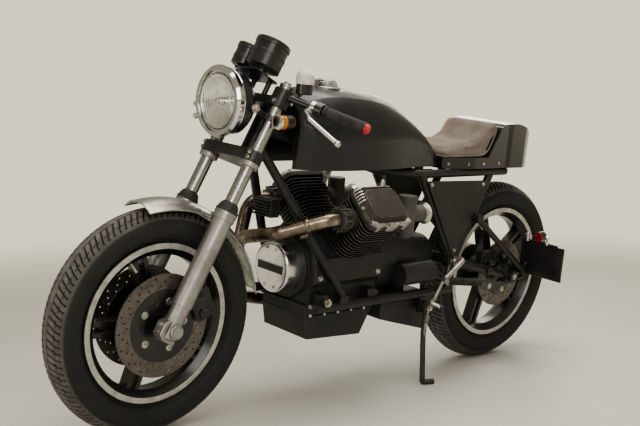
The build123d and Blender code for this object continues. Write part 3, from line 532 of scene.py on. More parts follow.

# Barrels and heads: bare sand-cast alloy, grey on the fins, with painted shade darkening the gaps between
# them.
# The fins carry bright scuffs on their rims, and oil has stained the roots.
barrel_alloy, tree, shader, place = new_finish("barrel_alloy", metallic=0.75)
barrel_edge = use_group(tree, worn_edge, Vector=place, Paint=(0.10, 0.096, 0.09, 1),
    Bare=(0.62, 0.60, 0.56, 1), Radius=0.0012, Wear=0.9, Scale=90.0)
barrel_stain = put(tree, "ShaderNodeTexNoise", Vector=place, Scale=22.0, Detail=6.0, Roughness=0.6)
# Painted shade: ambient occlusion darkens the colour towards near-black in the gaps between the fins.
barrel_gap_shade = put(tree, "ShaderNodeAmbientOcclusion", Distance=0.02)
barrel_gap_shade.samples = 6
barrel_painted_shade = reckon(tree, "SUBTRACT", 1.0, barrel_gap_shade.outputs["AO"])
barrel_mix = tint(tree, remap(tree, barrel_stain.outputs["Fac"], 0.45, 0.75, 0.0, 0.6),
    barrel_edge["Color"], (0.10, 0.075, 0.05, 1))
tree.links.new(tint(tree, reckon(tree, "MULTIPLY", barrel_painted_shade, 0.7, clamp=True), barrel_mix,
    (0.02, 0.018, 0.016, 1)), shader.inputs["Base Color"])
barrel_skin = use_group(tree, skin_grain, Vector=place, Scale=520.0, Low=0.42, High=0.66)
tree.links.new(barrel_skin["Roughness"], shader.inputs["Roughness"])
barrel_bump = put(tree, "ShaderNodeBump", Strength=0.3, Distance=0.0006, Height=barrel_skin["Height"],
    Normal=barrel_edge["Normal"])
tree.links.new(barrel_bump.outputs["Normal"], shader.inputs["Normal"])
clothe(barrel_alloy, "cylinder_left", "cylinder_right", "head_left", "head_right")

# Rocker covers: alloy boxes under brown-black crackle paint, rubbed to bare metal round the lower flange.
# Cooling ribs cross their upper edge, eight bolts hold each flange, and a plug cap pokes out behind.
cover_paint = painted("cover_paint", (0.028, 0.023, 0.019), (0.60, 0.58, 0.55), 0.55, 0.16, 0.46, 0.62,
    grain_scale=330.0, grain_depth=0.5, round_edge=0.004, metal_below=1.0)
clothe(cover_paint, "rocker_covers")
raw_alloy = stained("raw_alloy", (0.50, 0.49, 0.46),
    [((48.0, 6.0, 0.5), 0.46, 0.74, 0.75, (0.22, 0.19, 0.155))], bump=(1, 0.2, 0.0005), metallic=0.95,
    edge=((0.80, 0.79, 0.76), 0.0015, 0.8), skin=(600.0, 0.30, 0.52))
bank_slope = sqrt(0.5)


def bank(side, x, out, down):
    """Upright point on a cylinder bank: distance out from the crank and down across the bank."""
    return (x, side * (out + down) * bank_slope, crank_z + (out - down) * bank_slope)


cover_rows = ((1, 840.0), (-1, 814.0))
cover_trims = []
cover_bolts = []
for side, cover_x in cover_rows:
    for rib in range(6):
        across = -66 + rib * 9
        cover_trims.append(slab("cover_rib",
            [bank(side, cover_x - 66, 306, across), bank(side, cover_x + 66, 306, across),
            bank(side, cover_x + 60, 322 + rib * 1.4, across),
            bank(side, cover_x - 60, 322 + rib * 1.4, across)], (0, side * 4 * bank_slope, -4 * bank_slope),
            cover_paint if rib else raw_alloy, 1.2))
    for step in range(5):
        across = -62 + step * 10
        cover_trims.append(slab("corner_rib",
            [bank(side, cover_x + 70, 305, across), bank(side, cover_x + 86, 303, across),
            bank(side, cover_x + 80, 318, across), bank(side, cover_x + 66, 324, across)],
            (0, side * 5 * bank_slope, -5 * bank_slope), raw_alloy, 1.0))
    lower_lip = [(-84, 58), (-60, 76), (-30, 70), (-12, 77), (12, 77), (30, 70), (60, 76), (84, 58),
        (80, 48), (56, 60), (-56, 60), (-80, 48)]
    cover_trims.append(slab("cover_lip", [bank(side, cover_x + dx, 286.5, down) for dx, down in lower_lip],
        (0, side * 28 * bank_slope, 28 * bank_slope), raw_alloy, 2.0))
    for dx, down in ((-74, 62), (-22, 69), (22, 69), (74, 62), (78, 0), (-78, 0), (74, -62), (-74, -62)):
        cover_bolts.append((bank(side, cover_x + dx, 314.6 if abs(down) > 50 and down > 0 else 304.2, down),
            (0, side, 1), 5.2))
settle(join("cover_trims", cover_trims), "chassis", "cast_alloy")
bolt_set("cover_bolts", cover_bolts, "chassis")


def turned(name, start, along, profile, finish, sides=40):
    """Round piece turned about an upright axis: rows of distance along it and radius, closed at both ends."""
    axis = Vector(along).normalized()
    across = axis.orthogonal().normalized()
    third = axis.cross(across)
    points, faces = [], []
    for distance, radius in profile:
        for step in range(sides):
            angle = 2 * pi * step / sides
            ray = across * cos(angle) + third * sin(angle)
            points.append(tuple(Vector(start) + axis * distance + ray * max(radius, 0.01)))
    for row in range(len(profile) - 1):
        for step in range(sides):
            a, b = row * sides + step, row * sides + (step + 1) % sides
            faces.append((a, b, b + sides, a + sides))
    if profile[0] != profile[-1]:
        faces.append(tuple(range(sides)))
        faces.append(tuple(range((len(profile) - 1) * sides, len(profile) * sides)))
    piece = piece_from(name, points, faces, finish, smooth=True)
    corner = piece.modifiers.new("corner", "EDGE_SPLIT")
    corner.split_angle = radians(34)
    return piece


plug_rubber = stained("plug_rubber", (0.012, 0.012, 0.012),
    [((55.0, 5.0, 0.5), 0.0, 1.0, 1.0, (0.045, 0.042, 0.039))], rough=(0, 0.45, 0.72), roughness=0.55)
plug_caps = []
for side, cover_x in cover_rows:
    cap_from = Vector(bank(side, cover_x - 62, 262, -60))
    cap_way = Vector((-0.25, side * -0.10, 0.96))
    plug_caps.append(turned("plug_cap", cap_from, cap_way, [(0, 9), (18, 9), (20, 13), (44, 13), (50, 10),
        (58, 8), (64, 4.5)], raw_alloy, 24))
    plug_caps.append(turned("plug_boot", cap_from + cap_way * 58, cap_way,
        [(0, 7.5), (6, 8.5), (14, 7.5), (17, 4)], plug_rubber, 20))
settle(join("plug_caps", plug_caps), "chassis", "cast_alloy")

# Carburettors behind the heads: dark die-cast bodies with rubber intake stubs and bright bell mouths.
# They hang on the intake stubs in the shade of the frame.
carb_metal = painted("carb_metal", (0.060, 0.058, 0.055), (0.40, 0.39, 0.36), 0.6, 0.5, 0.40, 0.6,
    round_edge=0.002)
clothe(carb_metal, "carburettors")
port_reach = 252 * bank_slope
carb_trims = []
for side, carb_x in ((1, 848.0), (-1, 822.0)):
    port = Vector((carb_x, side * port_reach, crank_z + port_reach))
    carb_trims.append(turned("intake_stub", port + Vector((-122, 0, 0)), (1, 0, 0),
        [(0, 27.4), (3, 31), (9, 31), (12, 28.5), (16, 31), (22, 31), (25, 27.4)], plug_rubber, 28))
    carb_trims.append(turned("bell_mouth", port + Vector((-235, 0, 0)), (1, 0, 0),
        [(0, 22), (-5, 26), (-12, 33), (-14, 35), (-12, 36), (-4, 29), (2, 28)], raw_alloy, 28))
    carb_trims.append(turned("float_bowl", port + Vector((-164, 0, -50)), (0, 0, -1),
        [(-2, 30.6), (4, 31), (6, 27), (20, 24), (24, 18), (30, 8)], carb_metal, 24))
settle(join("carb_trims", carb_trims), "chassis", "cast_alloy")

# Exhaust: steel header pipes, browned and blued by heat, that cross to the right under the crankcase.
# A finned nut holds each pipe in its port, and a clamp ring joins the front pipe's two lengths.
header_steel, tree, shader, place = new_finish("header_steel", metallic=1.0)
heat_cloud = put(tree, "ShaderNodeTexNoise", Vector=place, Scale=13.0, Detail=6.0, Roughness=0.6,
    Distortion=0.6)
heat_ramp = put(tree, "ShaderNodeValToRGB", Fac=remap(tree, heat_cloud.outputs["Fac"], 0.28, 0.74))
heat_ramp.color_ramp.elements[0].color = (0.085, 0.066, 0.052, 1)
heat_ramp.color_ramp.elements[1].color = (0.46, 0.41, 0.35, 1)
heat_mid = heat_ramp.color_ramp.elements.new(0.5)
heat_mid.color = (0.21, 0.165, 0.13, 1)
heat_soot = put(tree, "ShaderNodeTexNoise", Vector=place, Scale=60.0, Detail=5.0)
tree.links.new(tint(tree, remap(tree, heat_soot.outputs["Fac"], 0.55, 0.75, 0.0, 0.7),
    heat_ramp.outputs["Color"], (0.05, 0.04, 0.032, 1)), shader.inputs["Base Color"])
tree.links.new(remap(tree, heat_soot.outputs["Fac"], 0.3, 0.7, 0.18, 0.42), shader.inputs["Roughness"])
heat_bump = put(tree, "ShaderNodeBump", Strength=0.08, Distance=0.0006, Height=heat_soot.outputs["Fac"])
tree.links.new(heat_bump.outputs["Normal"], shader.inputs["Normal"])
clothe(header_steel, "exhaust_pipes")
exhaust_trims = []
for side, port_x in ((1, 956.0), (-1, 930.0)):
    port_at = Vector((port_x, side * port_reach, crank_z + port_reach))
    exhaust_trims.append(turned("port_nut", port_at + Vector((2, 0, 0)), (1, 0, 0),
        [(0, 22), (0, 36), (4, 36), (5, 31), (9, 31), (10, 36), (14, 36), (15, 31), (19, 31), (20, 35),
        (24, 33), (26, 22)], barrel_alloy, 36))
    for notch in range(12):
        swing = 2 * pi * notch / 12
        spread_y, spread_z = cos(swing), sin(swing)
        base = port_at + Vector((1, 30 * spread_y, 30 * spread_z))
        wide = Vector((0, -spread_z * 3.0, spread_y * 3.0))
        outward = Vector((0, spread_y * 10, spread_z * 10))
        exhaust_trims.append(slab("nut_fin", [base - wide, base + wide, base + wide + outward,
            base - wide + outward], (26, 0, 0), barrel_alloy, 1.0))
clamp_way = Vector((126, -92, -52)).normalized()
exhaust_trims.append(turned("pipe_clamp", Vector((1066, 144, 599)), clamp_way,
    [(0, 21.1), (0.5, 23.5), (2, 24.5), (14, 24.5), (15.5, 23.5), (16, 21.1)], header_steel, 32))
exhaust_trims.append(slab("clamp_ears", [(1066, 142, 573), (1084, 129, 566), (1084, 127, 556),
    (1066, 140, 562)], (5, 7, 0), header_steel, 1.0))
settle(join("exhaust_trims", exhaust_trims), "chassis", "tarnished_steel")

# Fuel tank: pressed steel under deep satin black, polished by knees along its sides and dusty on top.
# A rolled seam closes its lower edge, and the filler cap is a low knurled alloy drum on a flange.
tank_paint = painted("tank_paint", (0.0075, 0.0075, 0.008), (0.20, 0.20, 0.20), 0.12, 0.06, 0.28, 0.42,
    grain_scale=700.0, grain_depth=0.012, round_edge=0.004, coat=0.25)
clothe(tank_paint, "fuel_tank")
cap_alloy = stained("cap_alloy", (0.40, 0.39, 0.38),
    [((95.0, 5.0, 0.5), 0.5, 0.75, 0.6, (0.16, 0.15, 0.14))], rough=(0, 0.2, 0.42), metallic=1.0,
    edge=((0.82, 0.82, 0.81), 0.0015, 0.8))
clothe(cap_alloy, "fuel_cap")
cap_x = 917
cap_trims = [
    turned("cap_flange", (cap_x, 0, 990), (0, 0, 1), [(2, 36.4), (2, 47), (6.5, 47), (8, 45.5), (8, 36.4)],
        cap_alloy, 48),
    turned("cap_knob", (cap_x, 0, 1008), (0, 0, 1), [(-0.2, 33), (3, 33), (5, 31), (9, 30.5), (11, 28),
        (11, 0)], cap_alloy, 40),
    slab("cap_latch", [(940, -8, 1017), (962, -7, 1012), (962, 7, 1012), (940, 8, 1017)], (0, 0, 4),
        cap_alloy, 1.0),
]
for flute in range(24):
    swing = 2 * pi * flute / 24
    cap_trims.append(turned("cap_flute", (cap_x + 33 * cos(swing), 33 * sin(swing), 1004), (0, 0, 1),
        [(0, 2.2), (8, 2.2), (9.5, 1.2)], cap_alloy, 8))
settle(join("cap_trims", cap_trims), "chassis", "polished_alloy")
bolt_set("cap_screws", [((cap_x + 41.5 * cos(radians(a)), 41.5 * sin(radians(a)), 997.8), (0, 0, 1), 2.6)
    for a in range(30, 390, 60)], "chassis", head_height=0.5, washer_reach=1.05)

# Seat: a gloss black moulded tray and hump, with a pad of taupe suede stretched over foam.
# A cloth run swells the pad, which is held down round its base and edged with welt.
cowl_gloss = painted("cowl_gloss", (0.009, 0.009, 0.010), (0.10, 0.10, 0.10), 0.15, 0.06, 0.14, 0.26,
    grain_scale=800.0, grain_depth=0.02, round_edge=0.005, coat=0.6)
clothe(cowl_gloss, "seat_cowl")
suede = stained("suede", (0.115, 0.092, 0.078),
    [((14.0, 6.0, 0.62), 0.32, 0.70, 1.0, (0.205, 0.170, 0.146)),
    ((52.0, 4.0, 0.5), 0.55, 0.78, 0.4, (0.27, 0.235, 0.205)),
    ((1500.0, 3.0, 0.5), 0.35, 0.65, 0.35, (0.075, 0.058, 0.048))], bump=(2, 0.35, 0.0006), roughness=0.92)
shader = suede.node_tree.nodes["Principled BSDF"]
shader.inputs["Sheen Weight"].default_value = 0.45
shader.inputs["Sheen Roughness"].default_value = 0.5
shader.inputs["Sheen Tint"].default_value = (0.85, 0.76, 0.68, 1)
pad_mesh = nodes["seat_pad"].data.copy()
pad = show("saddle_pad", pad_mesh)
work = bmesh.new()
work.from_mesh(pad_mesh)
bmesh.ops.remove_doubles(work, verts=work.verts, dist=1e-5)
pad_middle = park(300, 0, 835)
for vert in work.verts:
    vert.co = pad_middle + (vert.co - pad_middle) * 0.985
bmesh.ops.recalc_face_normals(work, faces=work.faces)
work.to_mesh(pad_mesh)
work.free()
pad_mesh.materials.clear()
pad_mesh.materials.append(suede)
remesh = pad.modifiers.new("remesh", "REMESH")
remesh.mode = "VOXEL"
remesh.voxel_size = 0.005
pad.data = cast_off(pad)
pad.modifiers.clear()
rest_places = [vert.co.copy() for vert in pad.data.vertices]
pad_floor = park(300, 0, 789.0)
pad_up = lean(0, 0, 1)
cloth = pad.modifiers.new("cloth", "CLOTH")
cloth.settings.use_pressure = True
cloth.settings.uniform_pressure_force = 4.0
cloth.settings.tension_stiffness = 18.0
cloth.settings.compression_stiffness = 18.0
cloth.settings.bending_stiffness = 0.6
cloth.settings.effector_weights.gravity = 0.0
held = pad.vertex_groups.new(name="sewn_down")
held.add([i for i, co in enumerate(rest_places) if (co - pad_floor).dot(pad_up) < 0.006], 1.0,
    "REPLACE")
cloth.settings.vertex_group_mass = "sewn_down"
for step in range(1, 21):
    bpy.context.scene.frame_set(step)
swollen = cast_off(pad)
pad.modifiers.clear()
swell_cap = 0.009
for vert, rest in zip(swollen.vertices, rest_places):
    move = vert.co - rest
    if move.length > swell_cap:
        vert.co = rest + move.normalized() * swell_cap
pad.data = swollen
bpy.context.scene.frame_set(1)
ease = pad.modifiers.new("ease", "SMOOTH")
ease.factor = 0.5
ease.iterations = 14
finer = pad.modifiers.new("finer", "SUBSURF")
finer.levels = 1
finer.render_levels = 1
for face in pad.data.polygons:
    face.use_smooth = True
pad.data.materials.clear()
pad.data.materials.append(suede)
saddle = settle(pad, "chassis", "suede", "seat_pad")
for face in saddle.data.polygons:
    face.use_smooth = True


def drawn(name, points, radius, finish, order=3, sides=3):
    """Round wire, rod or welt along a smooth line of upright points."""
    line = bpy.data.curves.new(name, "CURVE")
    line.dimensions = "3D"
    line.bevel_depth = radius / 1000
    line.bevel_resolution = sides
    line.use_fill_caps = True
    run = line.splines.new("NURBS")
    run.points.add(len(points) - 1)
    for spot, point in zip(run.points, points):
        spot.co = (*park(*point), 1)
    run.order_u = order
    run.use_endpoint_u = True
    run.resolution_u = 10
    line.materials.append(finish)
    rod = show(name, line)
    mesh = cast_off(rod)
    for face in mesh.polygons:
        face.use_smooth = True
    piece = bpy.data.objects.new(name, mesh)
    bpy.data.objects.remove(rod)
    bpy.context.scene.collection.objects.link(piece)
    return piece


welts = [drawn("pad_welt", [(442, side * 108, 790), (330, side * 111, 790), (226, side * 111, 791),
    (196, side * 110, 840), (172, side * 108, 888), (166, side * 90, 896)], 2.6, suede) for side in (1, -1)]
welts.append(drawn("pad_welt", [(443, -108, 790), (446, 0, 790), (443, 108, 790)], 2.6, suede))
settle(join("pad_welts", welts), "chassis", "suede")
bolt_set("tray_bolts", [((x, side * reach, 764), (0, side, 0), 4.4)
    for x, reach in ((420, 107.4), (330, 121.2), (250, 125.2), (160, 121.4)) for side in (1, -1)],
    "chassis")

# Side plates: flat sheets of black painted alloy in the frame's rear triangle, one bolt in each corner.
# Their cut edges are rubbed bright, and boots have scuffed the lower corner.
plate_paint = painted("plate_paint", (0.014, 0.014, 0.0145), (0.32, 0.31, 0.30), 0.6, 0.20, 0.36, 0.52,
    round_edge=0.0012)
clothe(plate_paint, "side_plates")
bolt_set("side_plate_bolts", [((x, side * 133.1, z), (0, side, 0), 5.0)
    for x, z in ((522, 700), (250, 694), (368, 466)) for side in (1, -1)], "chassis")

# Wheels: cast alloy with twin-rib spokes, painted black; the rim's lips are left bare and turned bright.
# A short valve stands in each rim.
wheel_paint = painted("wheel_paint", (0.010, 0.010, 0.011), (0.22, 0.21, 0.20), 0.25, 0.16, 0.20, 0.36,
    grain_scale=300.0, grain_depth=0.12, round_edge=0.003, coat=0.3)
clothe(wheel_paint, "front_wheel", "rear_wheel")
lip_alloy = stained("lip_alloy", (0.60, 0.585, 0.55),
    [((38.0, 6.0, 0.65), 0.40, 0.72, 1.0, (0.36, 0.34, 0.31))], rough=(0, 0.40, 0.60), metallic=0.7)
front_axle_at = Vector((1500, 0, 324))
rear_axle_at = Vector((0, 0, 337))
wheel_rows = [
    # body, axle, rim lip radius, half width of the rim, tyre radius, tyre width
    ("front_wheel", front_axle_at, 228.0, 37.0, 324.0, 112.0),
    ("rear_wheel", rear_axle_at, 244.0, 47.0, 337.0, 122.0),
]
for body, axle, lip_r, rim_half, tyre_r, tyre_w in wheel_rows:
    lip_rings = []
    for side in (1, -1):
        lip_rings.append(turned("lip_ring", axle, (0, side, 0),
            [(rim_half - 7, lip_r - 18.5), (rim_half + 0.3, lip_r - 15), (rim_half + 0.9, lip_r - 12),
            (rim_half + 0.5, lip_r - 6), (rim_half + 1.2, lip_r - 3), (rim_half + 0.4, lip_r + 0.8),
            (rim_half - 4, lip_r + 0.9), (rim_half - 5, lip_r - 6), (rim_half - 7, lip_r - 18.5)],
            lip_alloy, 120))
    swing = radians(64)
    valve_at = axle + Vector((cos(swing), 0, sin(swing))) * (lip_r - 33)
    lip_rings.append(turned("valve", valve_at + Vector((0, 10, 0)), (-cos(swing), 0.55, -sin(swing)),
        [(0, 4.5), (8, 4.5), (9, 3.2), (22, 3.2), (22.5, 4), (32, 4), (33, 3)], lip_alloy, 14))
    settle(join(body + "_lips", lip_rings), body, "polished_alloy")

# Tyres: road rubber with a rounded crown. The worn crown is grey and dusty, the sidewalls smooth and darker.
# Slanted cuts run out to the shoulders on both sides of a stepped pair of centre grooves.
tyre_rubber, tree, shader, place = new_finish("tyre_rubber", roughness=0.8)
crown_share = tree.nodes.new("ShaderNodeAttribute")
crown_share.attribute_name = "crown"
groove_share = tree.nodes.new("ShaderNodeAttribute")
groove_share.attribute_name = "groove"
tyre_dust = put(tree, "ShaderNodeTexNoise", Vector=place, Scale=26.0, Detail=6.0, Roughness=0.66)
tyre_fine = put(tree, "ShaderNodeTexNoise", Vector=place, Scale=420.0, Detail=3.0)
side_black = tint(tree, remap(tree, tyre_dust.outputs["Fac"], 0.42, 0.75, 0.0, 0.5),
    (0.013, 0.013, 0.0135, 1), (0.045, 0.041, 0.037, 1))
crown_grey = tint(tree, remap(tree, tyre_dust.outputs["Fac"], 0.32, 0.70), (0.070, 0.066, 0.061, 1),
    (0.165, 0.153, 0.141, 1))
tyre_mix = tint(tree, crown_share.outputs["Fac"], side_black, crown_grey)
tree.links.new(tint(tree, groove_share.outputs["Fac"], tyre_mix, (0.008, 0.008, 0.008, 1)),
    shader.inputs["Base Color"])
tree.links.new(remap(tree, tyre_dust.outputs["Fac"], 0.3, 0.7, 0.62, 0.88), shader.inputs["Roughness"])
tyre_bump = put(tree, "ShaderNodeBump", Strength=0.25, Distance=0.0005, Height=tyre_fine.outputs["Fac"])
tree.links.new(tyre_bump.outputs["Normal"], shader.inputs["Normal"])
tread_pitches = 102
pitch_steps = 9
crown_cuts = 36


def tread_depth(share, phase):
    """Depth of the tread, 0 to 1, at a share of the way from the crown's middle to its shoulder."""
    out = abs(share)
    beat = (phase + (0.5 if share < 0 else 0.0)) % 1.0
    step_in = 0.05 if int(phase / 3) % 2 else 0.0
    if 0.13 + step_in < out < 0.19 + step_in and (phase / 3) % 1.0 > 0.12:
        return 1.0
    slanted = (beat + out * 1.7) % 1.0
    if 0.19 + step_in < out < 0.93 and slanted < 0.30:
        return 1.0 if out > 0.27 else 0.7
    if 0.66 < out < 0.70 and (phase / 2 + 0.3) % 1.0 < 0.55:
        return 0.8
    return 0.0


for body, axle, lip_r, rim_half, tyre_r, tyre_w in wheel_rows:
    shoulder = tyre_w * 0.43
    drop = 24.0
    crown_bow = (shoulder ** 2 + drop ** 2) / (2 * drop)
    bead = rim_half - 9
    rows = []
    wall = [(bead, lip_r - 11.5), (bead, lip_r + 1), (bead + 3, lip_r + 8), (tyre_w / 2 - 9, lip_r + 17),
        (tyre_w / 2 - 3.4, lip_r + 27), (tyre_w / 2 - 2.8, lip_r + 29),
        (tyre_w / 2 - 0.8, (lip_r + tyre_r) / 2 - 4), (tyre_w / 2 - 0.4, (lip_r + tyre_r) / 2 + 6),
        (tyre_w / 2 - 1.6, tyre_r - 36), (tyre_w / 2 - 4, tyre_r - 29)]
    for y, r in wall:
        rows.append((y, r, 0.0, None))
    for cut in range(crown_cuts + 1):
        share = 1 - 2 * cut / crown_cuts
        y = share * shoulder
        rows.append((y, tyre_r - crown_bow + sqrt(crown_bow ** 2 - y ** 2), 1.0, share))
    for y, r in reversed(wall):
        rows.append((-y, r, 0.0, None))
    around = tread_pitches * pitch_steps
    points, crowns, grooves = [], [], []
    for step in range(around):
        swing = 2 * pi * step / around
        ray = Vector((cos(swing), 0, sin(swing)))
        for y, r, crown, share in rows:
            depth = tread_depth(share, step / pitch_steps) if share is not None else 0.0
            points.append(tuple(axle + ray * (r - 3.4 * depth) + Vector((0, y, 0))))
            crowns.append(crown * (1.0 if share is None else min(1.0, 1.35 - abs(share) * 0.75)))
            grooves.append(depth)
    count = len(rows)
    faces = []
    for step in range(around):
        after = (step + 1) % around
        for row in range(count):
            ahead = (row + 1) % count
            faces.append((step * count + row, step * count + ahead, after * count + ahead,
                after * count + row))
    mesh = bpy.data.meshes.new(body + "_tread")
    mesh.from_pydata([park(*point) for point in points], [], faces)
    mesh.attributes.new("crown", "FLOAT", "POINT").data.foreach_set("value", crowns)
    mesh.attributes.new("groove", "FLOAT", "POINT").data.foreach_set("value", grooves)
    work = bmesh.new()
    work.from_mesh(mesh)
    bmesh.ops.recalc_face_normals(work, faces=work.faces)
    work.to_mesh(mesh)
    work.free()
    mesh.materials.append(tyre_rubber)
    tyre = show(body + "_road_tyre", mesh)
    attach(tyre, body)
    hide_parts(body.replace("wheel", "tyre"))

# Brake discs: steel rings, browned and scored, drilled in staggered rows and bolted to black carriers.
# Bright hollow bolts hold each carrier to the hub, and small rivets hold the ring.
disc_steel = stained("disc_steel", (0.21, 0.195, 0.18),
    [((30.0, 7.0, 0.66), 0.34, 0.68, 1.0, (0.115, 0.092, 0.075)),
    ((240.0, 4.0, 0.5), 0.52, 0.72, 0.6, (0.31, 0.295, 0.275))], rough=(1, 0.36, 0.6),
    bump=(1, 0.12, 0.0004), metallic=0.9)


def round_axle(axle, r, y, swing):
    """Upright point at a radius and an angle round an axle."""
    return axle + Vector((r * cos(swing), y, r * sin(swing)))


def drilled_ring(name, axle, inner_y, outer_y, inner_r, outer_r, holes, hole_r, finish):
    """Flat ring with real holes in three staggered rows, one hole to a sector."""
    points, faces = [], []
    part = 2 * pi / holes
    loop = 12
    for sector in range(holes):
        middle = part * (sector + 0.5)
        hole_at = inner_r + (outer_r - inner_r) * (0.24, 0.5, 0.76)[sector % 3]
        rim = [(inner_r + (outer_r - inner_r) * t, -0.5) for t in (0.0, 0.33, 0.67)] + [(outer_r, t)
            for t in (-0.5, -0.17, 0.17)]
        rim += [(inner_r + (outer_r - inner_r) * t, 0.5) for t in (1.0, 0.67, 0.33)] + [(inner_r, t)
            for t in (0.5, 0.17, -0.17)]
        base = len(points)
        for y in (inner_y, outer_y):
            for r, t in rim:
                points.append((axle.x + r * cos(middle + t * part), y, axle.z + r * sin(middle + t * part)))
            for k in range(loop):
                r, t = rim[k]
                swing = atan2(r * sin(t * part), r * cos(t * part) - hole_at)
                u, v = hole_at + hole_r * cos(swing), hole_r * sin(swing)
                points.append((axle.x + u * cos(middle) - v * sin(middle), y,
                    axle.z + u * sin(middle) + v * cos(middle)))
        far = base + 2 * loop
        for k in range(loop):
            n = (k + 1) % loop
            faces.append((base + k, base + n, base + loop + n, base + loop + k))
            faces.append((far + n, far + k, far + loop + k, far + loop + n))
            faces.append((base + loop + k, base + loop + n, far + loop + n, far + loop + k))
            if 3 <= k <= 5 or 9 <= k <= 11:
                faces.append((base + n, base + k, far + k, far + n))
    return piece_from(name, points, faces, finish)


disc_rows = [
    # body, axle, hub faces, ring radius, replaced node
    ("front_wheel", front_axle_at, (50.0, -50.0), 148.0, "front_discs"),
    ("rear_wheel", rear_axle_at, (60.0,), 125.0, "rear_disc"),
]
for body, axle, hub_faces, ring_r, node in disc_rows:
    brake_pieces = []
    for face in hub_faces:
        side = 1 if face > 0 else -1
        outer_y = face + side * 7.5
        brake_pieces.append(drilled_ring("ring", axle, outer_y - side * 5, outer_y, ring_r - 44, ring_r, 54,
            3.2, disc_steel))
        brake_pieces.append(turned("carrier", axle + Vector((0, face + side * 0.2, 0)), (0, side, 0),
            [(0, 33), (0, ring_r - 36), (3.2, ring_r - 35), (6.3, ring_r - 42), (7.6, ring_r - 52),
            (7.6, 58), (5, 48), (6.5, 33), (0, 33)], wheel_paint, 72))
        for k in range(5):
            swing = 2 * pi * k / 5 + 0.55
            spot = round_axle(axle, 70, face + side * 7.2, swing)
            brake_pieces.append(turned("hub_bolt", spot, (0, side, 0),
                [(0, 11), (0.8, 11), (1.0, 9.8), (3.0, 9.4), (3.4, 8.6), (3.2, 5.4), (1.2, 5.2), (1.0, 0)],
                bolt_steel, 20))
        for k in range(10):
            swing = 2 * pi * (k + 0.5) / 10
            spot = round_axle(axle, ring_r - 40, face + side * 7.0, swing)
            brake_pieces.append(turned("ring_rivet", spot, (0, side, 0),
                [(0, 5), (1.2, 5), (2.0, 3.6), (2.0, 0)], disc_steel, 12))
        for k in range(5):
            swing = 2 * pi * k / 5 + 1.18
            spot = round_axle(axle, 72, face + side * 7.6, swing)
            brake_pieces.append(turned("carrier_cup", spot, (0, side, 0),
                [(0, 12), (0.8, 12), (0.9, 9), (0.2, 8.4), (0.1, 0)], engine_paint, 18))
    settle(join(node + "_drilled", brake_pieces), body, "disc_steel", node)

# Calipers: black painted alloy blocks behind the fork legs and over the rear disc.
# Two piston bosses stand on the outer face of each front one, with a bleed nipple on top.
caliper_paint = painted("caliper_paint", (0.015, 0.015, 0.015), (0.35, 0.34, 0.33), 0.5, 0.25, 0.34, 0.52,
    round_edge=0.004)
clothe(caliper_paint, "front_calipers", "rear_caliper")
caliper_r = 134
caliper_trims = []
for side in (1, -1):
    for swing in (150, 170):
        spot = round_axle(front_axle_at, caliper_r, side * 67, radians(swing))
        caliper_trims.append(turned("piston_boss", spot, (0, side, 0),
            [(-6, 17), (3, 17), (6, 15), (7, 12), (6.2, 10), (6.2, 0)], caliper_paint, 28))
    nipple = round_axle(front_axle_at, caliper_r, side * 66, radians(139))
    caliper_trims.append(turned("bleed_nipple", nipple, (-0.35, 0, 0.93),
        [(-4, 5), (5, 5), (6, 3.4), (14, 3.4), (15, 2.2), (18, 2.4)], bolt_steel, 12))
settle(join("caliper_trims", caliper_trims), "steering", "satin_black")

# Fork: grey cast sliders scuffed along their length, dull hard-chrome tubes and black forged yokes.
# Rubber dust caps and bright rings close the sliders, and pinch bolts hold the axle and the yokes.
fork_tilt = radians(27)


def fork_at(x, y, z):
    """Upright point from the front axle: ahead of the fork, to the left and up along the fork."""
    return front_axle_at + Vector((x * cos(fork_tilt) - z * sin(fork_tilt), y,
        x * sin(fork_tilt) + z * cos(fork_tilt)))


fork_up = Vector((-sin(fork_tilt), 0, cos(fork_tilt)))
fork_front = Vector((cos(fork_tilt), 0, sin(fork_tilt)))
slider_alloy = stained("slider_alloy", (0.37, 0.36, 0.34),
    [((20.0, 7.0, 0.68), 0.40, 0.72, 0.7, (0.20, 0.185, 0.165)),
    (((160.0, 160.0, 9.0), 5.0, 0.5), 0.56, 0.76, 0.6, (0.60, 0.59, 0.56))], rough=(0, 0.34, 0.56),
    bump=(1, 0.10, 0.0005), metallic=0.85, edge=((0.66, 0.65, 0.62), 0.002, 0.7), tilt=fork_tilt)
clothe(slider_alloy, "fork_sliders")
fork_chrome = stained("fork_chrome", (0.38, 0.37, 0.36),
    [((120.0, 6.0, 0.5), 0.56, 0.78, 0.8, (0.17, 0.15, 0.13)), (((260.0, 260.0, 5.0), 3.0, 0.5),)],
    rough=(1, 0.20, 0.40), metallic=1.0, tilt=fork_tilt)
clothe(fork_chrome, "stanchions", "front_axle", "rear_axle")
clothe(frame_paint, "lower_yoke", "upper_yoke")
fork_trims = []
fork_bolts = []
